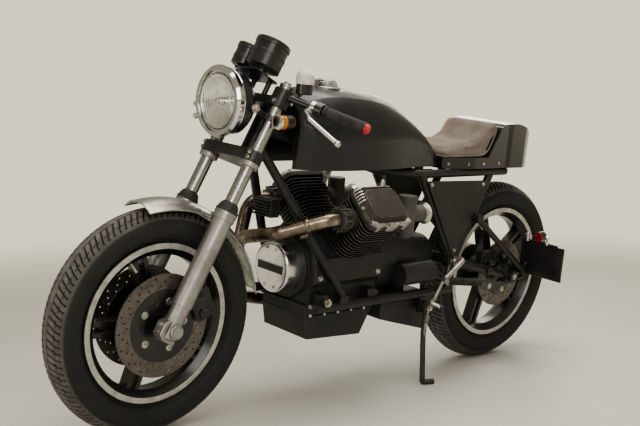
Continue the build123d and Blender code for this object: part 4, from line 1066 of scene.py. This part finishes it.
for side in (1, -1):
    leg = side * 95.0
    fork_trims.append(turned("dust_cap", fork_at(0, leg, 356), fork_up,
        [(0, 32.4), (2, 33), (8, 33), (9, 30), (16, 29.5), (17, 27.6), (22, 27.2), (26, 24), (30, 20.5),
        (30, 19.1)], plug_rubber, 36))
    fork_trims.append(turned("slider_ring", fork_at(0, leg, 348), fork_up,
        [(0, 31.5), (0.6, 33.2), (6, 33.2), (6.6, 31.5)], fork_chrome, 40))
    fork_trims.append(turned("yoke_collar", fork_at(0, leg, 497), fork_up,
        [(0, 19.1), (0, 27), (1.5, 28.5), (14, 28.5), (15, 27)], slider_alloy, 40))
    fork_trims.append(turned("top_cap", fork_at(0, leg, 751), fork_up,
        [(0, 19), (1, 20), (6, 20), (7, 18.5), (7.2, 12), (14, 11.5), (15, 10), (15, 0)], slider_alloy, 36))
    fork_trims.append(slab("pinch_clamp", [fork_at(18, leg - 20, -38), fork_at(38, leg - 20, -26),
        fork_at(38, leg - 20, 12), fork_at(18, leg - 20, 26)], (0, 40, 0), slider_alloy, 4.0))
    fork_trims.append(slab("pinch_foot", [fork_at(-22, leg - 17, -38), fork_at(24, leg - 17, -38),
        fork_at(24, leg - 17, -24), fork_at(-22, leg - 17, -24)], (0, 34, 0), slider_alloy, 4.0))
    fork_trims.append(turned("axle_ring", front_axle_at + Vector((0, leg + side * 29, 0)), (0, side, 0),
        [(-2, 21), (4, 21), (6, 19), (6, 14.6), (1, 14.4)], slider_alloy, 32))
    for rise in (-18, 4):
        fork_bolts.append((fork_at(38.2, leg, rise), fork_front, 5.0))
    for height in (520, 537, 698):
        fork_bolts.append((fork_at(27, leg + side * 10, height), fork_front + Vector((0, side * 0.35, 0)),
            5.0))
fork_trims.append(turned("stem_nut", fork_at(-55, 0, 710), fork_up,
    [(0, 21), (3, 21), (3.2, 17), (14, 17), (16, 15), (16, 0)], fork_chrome, 6))
settle(join("fork_trims", fork_trims), "steering", "cast_alloy")
bolt_set("fork_bolts", fork_bolts, "steering")

# Mudguard: a short arch of bare rolled steel, dull and scratched, with a beaded edge all round.
# Four bolts hold it between the fork legs, and a bent tab ends its tail.
guard_steel = stained("guard_steel", (0.52, 0.51, 0.49),
    [((24.0, 7.0, 0.66), 0.38, 0.70, 1.0, (0.26, 0.245, 0.225)),
    (((18.0, 190.0, 60.0), 5.0, 0.5), 0.54, 0.74, 0.5, (0.68, 0.67, 0.65))], rough=(0, 0.24, 0.46),
    bump=(1, 0.06, 0.0004), metallic=0.95)
clothe(guard_steel, "mudguard")
guard_r, guard_half, guard_drop = 349.2, 63.0, 24.0


def guard_at(swing, across, lift=0.0):
    """Upright point on the mudguard's skin at an angle round the axle and a place across it."""
    bow = (guard_half ** 2 + guard_drop ** 2) / (2 * guard_drop)
    r = guard_r + lift - bow + sqrt(max(bow ** 2 - across ** 2, 0))
    return (front_axle_at.x + r * cos(radians(swing)), across, front_axle_at.z + r * sin(radians(swing)))


guard_trims = []
for side in (1, -1):
    guard_trims.append(drawn("guard_bead", [guard_at(a, side * 62.4) for a in range(78, 171, 8)], 2.4,
        guard_steel))
for swing in (78.4, 169.6):
    guard_trims.append(drawn("guard_bead", [guard_at(swing, across) for across in range(-62, 63, 12)], 2.4,
        guard_steel))
guard_trims.append(slab("guard_tab", [guard_at(166, -22, 2), guard_at(166, 22, 2), guard_at(170.5, 16, 5),
    guard_at(170.5, -16, 5)], (-3.0, 0, 1.0), frame_paint, 1.0))
settle(join("guard_trims", guard_trims), "steering", "bright_steel")
bolt_set("guard_bolts", [(guard_at(swing, across, 1.0),
    (cos(radians(swing)), across * 0.008, sin(radians(swing))), 3.6) for swing in (108, 118)
    for across in (-48, 48)], "steering")

# Headlamp: a black steel bowl between the fork tubes, with a plated rim and a fluted glass.
# A bright reflector and a capped bulb sit behind the glass, and an adjuster screw stands on the rim.
lamp_front = 1331.0
lamp_z = 941.0
lamp_black = painted("lamp_black", (0.011, 0.011, 0.012), (0.25, 0.25, 0.25), 0.3, 0.10, 0.22, 0.38,
    round_edge=0.003, coat=0.2)
clothe(lamp_black, "headlamp_shell")
rim_chrome = stained("rim_chrome", (0.70, 0.70, 0.70),
    [((44.0, 6.0, 0.5), 0.5, 0.8, 0.5, (0.36, 0.34, 0.31))], rough=(0, 0.06, 0.2), metallic=1.0)
clothe(rim_chrome, "headlamp_rim")
mirror_bowl = stained("mirror_bowl", (0.93, 0.93, 0.92),
    [((34.0, 5.0, 0.5), 0.0, 1.0, 1.0, (0.74, 0.73, 0.71))], rough=(0, 0.16, 0.34), metallic=1.0)
lamp_inside = [
    turned("reflector", (lamp_front, 0, lamp_z), (1, 0, 0), [(-7, 78.6), (-12, 66), (-16, 52), (-19.5, 36),
        (-22, 18), (-22.5, 0.2), (-23.4, 0.2), (-23.4, 78.9), (-7, 78.9), (-7, 78.6)], mirror_bowl, 72),
    turned("bulb_cap", (lamp_front - 21, 0, lamp_z), (1, 0, 0),
        [(0, 11), (6, 11), (8, 9.5), (16, 9.5), (19, 8), (20.5, 4), (20.8, 0)], rim_chrome, 28),
]
settle(join("lamp_inside", lamp_inside), "steering", "chrome")
lamp_glass, tree, shader, place = new_finish("lamp_glass", roughness=0.04)
shader.inputs["Transmission Weight"].default_value = 1.0
shader.inputs["IOR"].default_value = 1.46
flute_place = put(tree, "ShaderNodeMapping", Vector=place, Rotation=(-lean_angle, 0, 0))
flute_axes = put(tree, "ShaderNodeSeparateXYZ", Vector=flute_place.outputs["Vector"])
flute_wave = reckon(tree, "SINE", reckon(tree, "MULTIPLY", flute_axes.outputs["Y"], 2 * pi / 0.016))
glass_speck = put(tree, "ShaderNodeTexNoise", Vector=place, Scale=70.0, Detail=5.0)
tree.links.new(tint(tree, remap(tree, glass_speck.outputs["Fac"], 0.5, 0.8, 0.0, 0.3),
    (0.98, 0.99, 0.98, 1), (0.80, 0.79, 0.74, 1)), shader.inputs["Base Color"])
flute_bump = put(tree, "ShaderNodeBump", Strength=0.2, Distance=0.0012, Height=flute_wave)
tree.links.new(flute_bump.outputs["Normal"], shader.inputs["Normal"])
dome_out = [(-6.2 + 15.2 * (1 - (r / 79.0) ** 2), r)
    for r in (79.0, 74.0, 66.0, 56.0, 46.0, 36.0, 26.0, 16.0, 8.0, 0.2)]
dome_in = [(along - 3.0, r) for along, r in reversed(dome_out)]
glass_dome = turned("glass_dome", (lamp_front, 0, lamp_z), (1, 0, 0), dome_out + dome_in + [dome_out[0]],
    lamp_glass, 72)
settle(glass_dome, "steering", "clear_glass", "headlamp_glass")
lamp_trims = [
    turned("rim_bead", (lamp_front - 26, 0, lamp_z), (1, 0, 0),
        [(0, 93.6), (-0.6, 96.5), (-4, 97), (-5, 95.5), (-5, 93.2), (0, 93.6)], rim_chrome, 72),
    turned("adjuster", (lamp_front - 14, -104, lamp_z - 20), (0.2, -0.97, 0.1),
        [(-8, 4.5), (4, 4.5), (5, 7), (12, 7), (13, 5), (13, 0)], rim_chrome, 16),
]
for side in (1, -1):
    lamp_trims.append(turned("ear_bolt", fork_at(70, side * 100, 648), (0, side, 0),
        [(-4, 13), (2, 13), (3, 11), (3.2, 8.5), (10, 8), (11, 7), (11, 0)], bolt_steel, 18))
settle(join("lamp_trims", lamp_trims), "steering", "chrome")

# Gauges: two black cans of unlike size on a plate over the yoke, tilted back towards the rider.
# Each has a rolled bezel and a plain dial with marks and a pale needle.
clothe(lamp_black, "gauges")
dial_face = stained("dial_face", (0.012, 0.012, 0.013),
    [((180.0, 3.0, 0.5), 0.0, 1.0, 1.0, (0.030, 0.030, 0.031))], roughness=0.6)
dial_mark = stained("dial_mark", (0.62, 0.61, 0.56),
    [((260.0, 2.0, 0.5), 0.0, 1.0, 1.0, (0.80, 0.79, 0.74))])
gauge_pieces = []
gauge_rows = [
    # ahead of the fork, to the left, radius, top along the fork, marks
    (73.0, 52.0, 50.0, 848.0, 27),
    (68.0, -50.0, 34.0, 832.0, 19),
]
side_way = Vector((0, 1, 0))
for can_x, can_y, can_r, can_top, mark_count in gauge_rows:
    can = fork_at(can_x, can_y, can_top)
    gauge_pieces.append(turned("bezel", can, fork_up,
        [(-13, can_r + 0.2), (-12, can_r + 2), (-2, can_r + 2.4), (1.8, can_r + 1.2), (2.4, can_r - 1.5),
        (0.6, can_r - 4), (0.3, can_r - 4)], lamp_black, 56))
    gauge_pieces.append(turned("dial", can, fork_up, [(0.2, can_r - 3.5), (0.5, can_r - 4), (0.6, 0)],
        dial_face, 48))
    gauge_pieces.append(turned("can_band", can - fork_up * 44, fork_up,
        [(0, can_r), (0.5, can_r + 1.2), (9, can_r + 1.2), (9.5, can_r)], lamp_black, 56))
    gauge_pieces.append(turned("can_foot", can - fork_up * (can_top - 770), fork_up,
        [(-4, can_r * 0.72), (-2, can_r * 0.9), (0.2, can_r - 0.2)], lamp_black, 56))
    for mark in range(mark_count):
        swing = radians(-225 + 270 * mark / (mark_count - 1))
        ray = fork_front * sin(swing) + side_way * -cos(swing)
        wide = fork_up.cross(ray) * (0.9 if mark % 2 == 0 else 0.5)
        near = can + fork_up * 0.6 + ray * (can_r - (13 if mark % 2 == 0 else 10))
        far = can + fork_up * 0.6 + ray * (can_r - 6.5)
        gauge_pieces.append(slab("mark", [near - wide, near + wide, far + wide, far - wide], fork_up * 0.25,
            dial_mark, 0.0))
    swing = radians(-215)
    ray = fork_front * sin(swing) + side_way * -cos(swing)
    wide = fork_up.cross(ray)
    tip = can + fork_up * 1.1 + ray * (can_r - 12)
    hub = can + fork_up * 1.1 - ray * 6
    gauge_pieces.append(slab("needle", [hub - wide * 1.4, hub + wide * 1.4, tip + wide * 0.4,
        tip - wide * 0.4], fork_up * 0.5, dial_mark, 0.0))
    gauge_pieces.append(turned("needle_hub", can + fork_up * 0.6, fork_up,
        [(0, 4.5), (1.6, 4.5), (2, 3.5), (2, 0)], lamp_black, 16))
settle(join("gauge_faces", gauge_pieces), "steering", "gloss_black")

# Handlebars: black clip-on tubes clamped above the yoke, with ribbed rubber grips and red end plugs.
# Polished levers turn in alloy perches; a fluid cup with a pale cap stands by each bar.
bar_paint = painted("bar_paint", (0.012, 0.012, 0.0125), (0.34, 0.33, 0.32), 0.5, 0.12, 0.24, 0.40,
    round_edge=0.002)
clothe(bar_paint, "handlebars")
lever_alloy = stained("lever_alloy", (0.60, 0.60, 0.59),
    [((70.0, 5.0, 0.5), 0.52, 0.78, 0.6, (0.28, 0.27, 0.25))], rough=(0, 0.16, 0.36), metallic=1.0,
    edge=((0.85, 0.85, 0.84), 0.0015, 0.6))
clothe(lever_alloy, "clutch_lever", "brake_lever")
grip_rubber = stained("grip_rubber", (0.012, 0.012, 0.012),
    [((44.0, 6.0, 0.5), 0.35, 0.7, 1.0, (0.050, 0.047, 0.043)), ((700.0, 2.0, 0.5),)],
    rough=(0, 0.48, 0.72), bump=(1, 0.2, 0.0004), roughness=0.62)
plug_red = stained("plug_red", (0.42, 0.012, 0.022),
    [((120.0, 4.0, 0.5), 0.0, 1.0, 1.0, (0.62, 0.045, 0.060))], rough=(0, 0.28, 0.45), roughness=0.35)
bar_root = fork_at(0, 95, 726)
bar_reach = Vector((-106, 237, -63))
bar_length = bar_reach.length
grip_from = bar_length - 128.0
grip_pieces, plug_pieces, bar_trims = [], [], []
for side in (1, -1):
    way = Vector((bar_reach.x, side * bar_reach.y, bar_reach.z)).normalized()
    root = Vector((bar_root.x, side * bar_root.y, bar_root.z))
    grip_rows = [(0, 11.1), (0, 18.5), (1, 19.5), (6, 19.5), (7, 17.0)]
    for rib in range(26):
        grip_rows += [(8 + rib * 4.4, 16.1), (9.4 + rib * 4.4, 17.1), (11.0 + rib * 4.4, 17.1),
            (12.2 + rib * 4.4, 16.1)]
    grip_rows += [(124, 17.4), (127.6, 17.0), (128, 15), (128, 11.1)]
    grip_pieces.append(turned("grip", root + way * grip_from, way, grip_rows, grip_rubber, 32))
    plug_pieces.append(turned("end_plug", root + way * (bar_length + 0.2), way,
        [(-1, 10.8), (0, 14.5), (6, 14.8), (7, 12), (10, 11.5), (13, 9), (14, 0)], plug_red, 28))
    bar_trims.append(slab("clamp_ears", [fork_at(-44, side * 95 - 9, 713), fork_at(-24, side * 95 - 9, 713),
        fork_at(-24, side * 95 - 9, 739), fork_at(-44, side * 95 - 9, 739)], (0, 18, 0), bar_paint, 2.0))
    bar_trims.append(turned("switch_block", root + way * (grip_from - 6), -way,
        [(0, 19.5), (1.5, 21), (22, 21), (24, 19)], lamp_black, 28))
    knob = root + way * (grip_from - 17)
    bar_trims.append(turned("switch_knob", knob + Vector((-18, 0, 6)), (-0.9, 0, 0.3),
        [(0, 6), (4, 6), (5, 4.5), (5, 0)], plug_red if side < 0 else raw_alloy, 14))
    bar_trims.append(turned("perch_bolt", root + way * (grip_from - 28) + Vector((28, 0, -4)),
        (0.15, side * 0.1, 1), [(-6, 6), (5, 6), (6, 4.8), (6, 0)], bolt_steel, 6))
settle(join("bar_grips", grip_pieces), "steering", "rubber", "grips")
settle(join("bar_plugs", plug_pieces), "steering", "red")
settle(join("bar_trims", bar_trims), "steering", "gloss_black")
bolt_set("clip_bolts", [(fork_at(-34, side * (95 + 9.2), height), (0, side, 0), 4.6) for side in (1, -1)
    for height in (719, 733)], "steering")
cup_white = stained("cup_white", (0.70, 0.69, 0.64),
    [((90.0, 5.0, 0.5), 0.4, 0.75, 1.0, (0.40, 0.38, 0.33))], rough=(0, 0.3, 0.5), roughness=0.45)
cup_at = Vector((1132.3, -193.6, 961.7))
cup_pieces = [
    turned("cup_body", cup_at, (0, 0, 1), [(0.5, 21.2), (1, 22), (22, 22.5), (23, 21.2)], lamp_black, 36),
    turned("cup_cap", cup_at, (0, 0, 1), [(23, 21.4), (23.5, 23.4), (34, 23.4), (37, 21), (39, 14),
        (39.5, 0)], cup_white, 36),
]
for flute in range(20):
    swing = 2 * pi * flute / 20
    cup_pieces.append(turned("cap_flute", cup_at + Vector((23 * cos(swing), 23 * sin(swing), 24)),
        (0, 0, 1), [(0, 1.5), (8, 1.5), (9.5, 0.8)], cup_white, 6))
settle(join("brake_cup", cup_pieces), "steering", "gloss_black")
left_stay = bar_root + bar_reach.normalized() * 40
left_cup = left_stay + Vector((-34, 0, 17))
left_cup_pieces = [
    turned("left_cup_body", left_cup, (0, 0, 1), [(0, 22), (1.5, 24), (28, 24.5), (30, 23)], lamp_black,
        36),
    turned("left_cup_cap", left_cup, (0, 0, 1), [(30, 23.5), (30.5, 26), (52, 25.6), (60, 23.5), (66, 18.5),
        (69, 11), (70, 0)], cup_white, 40),
    drawn("left_cup_stay", [left_stay, left_stay + Vector((-16, 0, 14)), left_cup + Vector((0, 0, 8))], 5.0,
        lamp_black),
]
settle(join("left_cup", left_cup_pieces), "steering", "gloss_black")

# Indicators: short amber lenses on black cups, bolted to the lamp's ears.
# The lenses are ribbed inside; their uneven glow is painted into the amber as lighter patches.
amber_lens = stained("amber_lens", (0.34, 0.10, 0.008),
    [((110.0, 4.0, 0.5), 0.0, 1.0, 1.0, (0.66, 0.26, 0.03))], rough=(0, 0.14, 0.34), roughness=0.25)
clothe(amber_lens, "indicators")
indicator_trims = []
for side in (1, -1):
    ear = fork_at(0, side * 122, 648)
    body_at = ear + Vector((0, side * 34, 0))
    indicator_trims.append(turned("cup", body_at + Vector((-23.5, 0, 0)), (1, 0, 0),
        [(-1, 12), (0, 17), (2, 20.8), (26, 21.2), (27, 20.2)], lamp_black, 32))
    indicator_trims.append(turned("lens_ring", body_at + Vector((20, 0, 0)), (1, 0, 0),
        [(0, 20.1), (0.5, 21), (3, 21), (3.6, 19.6)], rim_chrome, 32))
    indicator_trims.append(slab("tab",
        [ear + Vector((-16, side * -2, -22)), ear + Vector((16, side * -2, -22)),
        ear + Vector((20, side * -2, 14)), ear + Vector((-10, side * -2, 24))], (0, side * 5, 0), raw_alloy,
        2.0))
settle(join("indicator_trims", indicator_trims), "steering", "amber")

# Rear end: a blank dark plate on a side bracket at the axle, with a small round red lamp above it.
# The bracket is cut from sheet; its lower edge and the plate's are worn pale.
plate_dark = painted("plate_dark", (0.014, 0.014, 0.015), (0.44, 0.41, 0.36), 0.9, 0.5, 0.30, 0.5,
    round_edge=0.0025)
clothe(plate_dark, "number_plate")
lamp_red = stained("lamp_red", (0.22, 0.006, 0.008),
    [((160.0, 3.0, 0.5), 0.0, 1.0, 1.0, (0.46, 0.02, 0.022))], rough=(0, 0.12, 0.3), roughness=0.2)
clothe(lamp_red, "tail_lamp")
rear_trims = [
    turned("lamp_cup", (-70, 170, 492), (-1, 0, 0), [(-1, 12), (0, 16), (3, 18.4), (24, 18.8), (25, 17.6)],
        lamp_black, 32),
    turned("lamp_bezel", (-95, 170, 492), (-1, 0, 0), [(0, 17.4), (0.5, 19.2), (4, 19.2), (5, 17.6)],
        rim_chrome, 32),
]
plate_rim = [(-82.6, 96, 341), (-82.6, 284, 341), (-82.6, 284, 350), (-82.6, 96, 350)]
rear_trims.append(slab("plate_lip", plate_rim, (-3.2, 0, 0), raw_alloy, 1.0))
for y_at in (104, 276):
    rear_trims.append(slab("plate_side", [(-82.4, y_at - 4, 352), (-82.4, y_at + 4, 352),
        (-82.4, y_at + 4, 466), (-82.4, y_at - 4, 466)], (-1.6, 0, 0), plate_dark, 0.6))
rear_trims.append(drawn("lamp_stay", [(-72, 150, 474), (-66, 150, 484), (-62, 158, 492), (-66, 170, 492)],
    4.0, frame_paint))
for y_at in (128, 214):
    rear_trims.append(turned("plate_stud", (-68, y_at, 470), (0.1, 0, 1),
        [(0, 7), (8, 7), (9, 5), (22, 5), (23, 8), (30, 8), (32, 6), (32, 0)], rim_chrome, 16))
settle(join("rear_trims", rear_trims), "chassis", "plate")
bolt_set("plate_bolts", [((-82.2, y, z), (-1, 0, 0), 4.2)
    for y, z in ((150, 440), (230, 440), (150, 372), (230, 372))], "chassis")
clothe(barrel_alloy, "final_drive")
bolt_set("final_drive_bolts",
    [((64 * cos(radians(a)), -129.2, rear_axle_at.z + 64 * sin(radians(a))), (0, -1, 0), 5.0)
    for a in range(0, 360, 45)] + [((0, 126.2, rear_axle_at.z), (0, 1, 0), 12.0),
    ((0, -152.2, rear_axle_at.z), (0, -1, 0), 12.0)], "chassis")

# Rearsets: thin cast alloy brackets and pedals with ribbed rubber pegs, bolted by the swingarm pivot.
# A large domed nut covers each end of the pivot.
clothe(raw_alloy, "rearsets")
peg_from, peg_to = Vector((426, 180, 374)), Vector((392, 288, 392))
peg_pieces = []
for side in (1, -1):
    start = Vector((peg_from.x, side * peg_from.y, peg_from.z))
    way = Vector((peg_to.x, side * peg_to.y, peg_to.z)) - start
    rows = [(0, 9), (0.5, 13.2), (5, 13.4), (6, 11.8)]
    for rib in range(14):
        rows += [(8 + rib * 7, 11.8), (9.5 + rib * 7, 13.3), (12.5 + rib * 7, 13.3), (14 + rib * 7, 11.8)]
    rows += [(way.length - 4, 13.4), (way.length - 0.5, 13.0), (way.length, 11), (way.length, 0)]
    peg_pieces.append(turned("peg", start, way, rows, grip_rubber, 28))
settle(join("ribbed_pegs", peg_pieces), "chassis", "rubber", "footpegs")
pivot_trims = []
for side in (1, -1):
    pivot_trims.append(turned("pivot_nut", (357, side * 128.5, 423), (0, side, 0),
        [(0, 19), (2.5, 19), (3, 15), (10, 15), (13, 13), (15, 8), (15.5, 0)], fork_chrome, 28))
    pivot_trims.append(turned("pedal_pad", (541, side * 236, 315.4), (-0.15, side, -0.26),
        [(0, 6.1), (0.4, 8.4), (17, 8.4), (18, 6)], grip_rubber, 18))
    pivot_trims.append(turned("pedal_boss", (431, side * 160, 371), (0, side, 0.16),
        [(0, 12), (1, 13), (14, 13), (15, 11), (15, 0)], raw_alloy, 22))
settle(join("pivot_trims", pivot_trims), "chassis", "cast_alloy")

# Side stand: a black steel leg with a curved foot, held down by a long coil spring beside it.
# Paint is gone from the foot where it meets the ground.
stand_paint = painted("stand_paint", (0.013, 0.013, 0.013), (0.30, 0.27, 0.24), 0.7, 0.35, 0.36, 0.55,
    round_edge=0.002)
clothe(stand_paint, "side_stand")
coil_spring, given, made = new_group("coil_spring",
    [("Geometry", "NodeSocketGeometry", None), ("Turns", "NodeSocketFloat", None),
    ("Coil radius", "NodeSocketFloat", None), ("Wire radius", "NodeSocketFloat", None),
    ("Length", "NodeSocketFloat", None), ("Finish", "NodeSocketMaterial", None)],
    [("Geometry", "NodeSocketGeometry")], "GeometryNodeTree")
coil_path = put(coil_spring, "GeometryNodeCurveSpiral", Resolution=14, Rotations=given["Turns"],
    Start_Radius=given["Coil radius"], End_Radius=given["Coil radius"], Height=given["Length"])
wire_round = put(coil_spring, "GeometryNodeCurvePrimitiveCircle", Resolution=6)
coil_spring.links.new(given["Wire radius"], wire_round.inputs["Radius"])
coil_mesh = put(coil_spring, "GeometryNodeCurveToMesh", Curve=coil_path.outputs["Curve"],
    Profile_Curve=wire_round.outputs["Curve"], Fill_Caps=True)
coil_whole = put(coil_spring, "GeometryNodeRealizeInstances", Geometry=coil_mesh.outputs["Mesh"])
coil_dressed = put(coil_spring, "GeometryNodeSetMaterial", Geometry=coil_whole.outputs["Geometry"],
    Material=given["Finish"])
coil_spring.links.new(coil_dressed.outputs["Geometry"], made.inputs["Geometry"])
spring_low, spring_high = park(524, 168, 150), park(509, 166, 262)
spring_mesh = bpy.data.meshes.new("stand_spring")
spring_mesh.from_pydata([(0, 0, 0)], [], [])
spring = show("stand_spring", spring_mesh)
spring_run = spring_high - spring_low
drive(spring, coil_spring, {"Turns": 26.0, "Coil radius": 0.0062, "Wire radius": 0.0014,
    "Length": spring_run.length, "Finish": bolt_steel})
spring = settle(spring, "side_stand", "bright_steel")
spring_aim = spring_run.to_track_quat("Z", "Y").to_matrix().to_4x4()
spring.data.transform(Matrix.Translation(spring_low) @ spring_aim)
stand_trims = [
    drawn("spring_hook", [(509, 166, 262), (508, 166, 274), (505, 166, 286)], 1.6, bolt_steel),
    drawn("spring_hook", [(524, 168, 150), (525, 172, 140), (524, 176, 132)], 1.6, bolt_steel),
    turned("stand_bolt", (505, 165, 286), (0, 1, 0), [(0, 12), (3, 12), (4, 10), (9, 10), (10, 8.5),
        (10, 0)], bolt_steel, 6),
]
settle(join("stand_trims", stand_trims), "side_stand", "bright_steel")
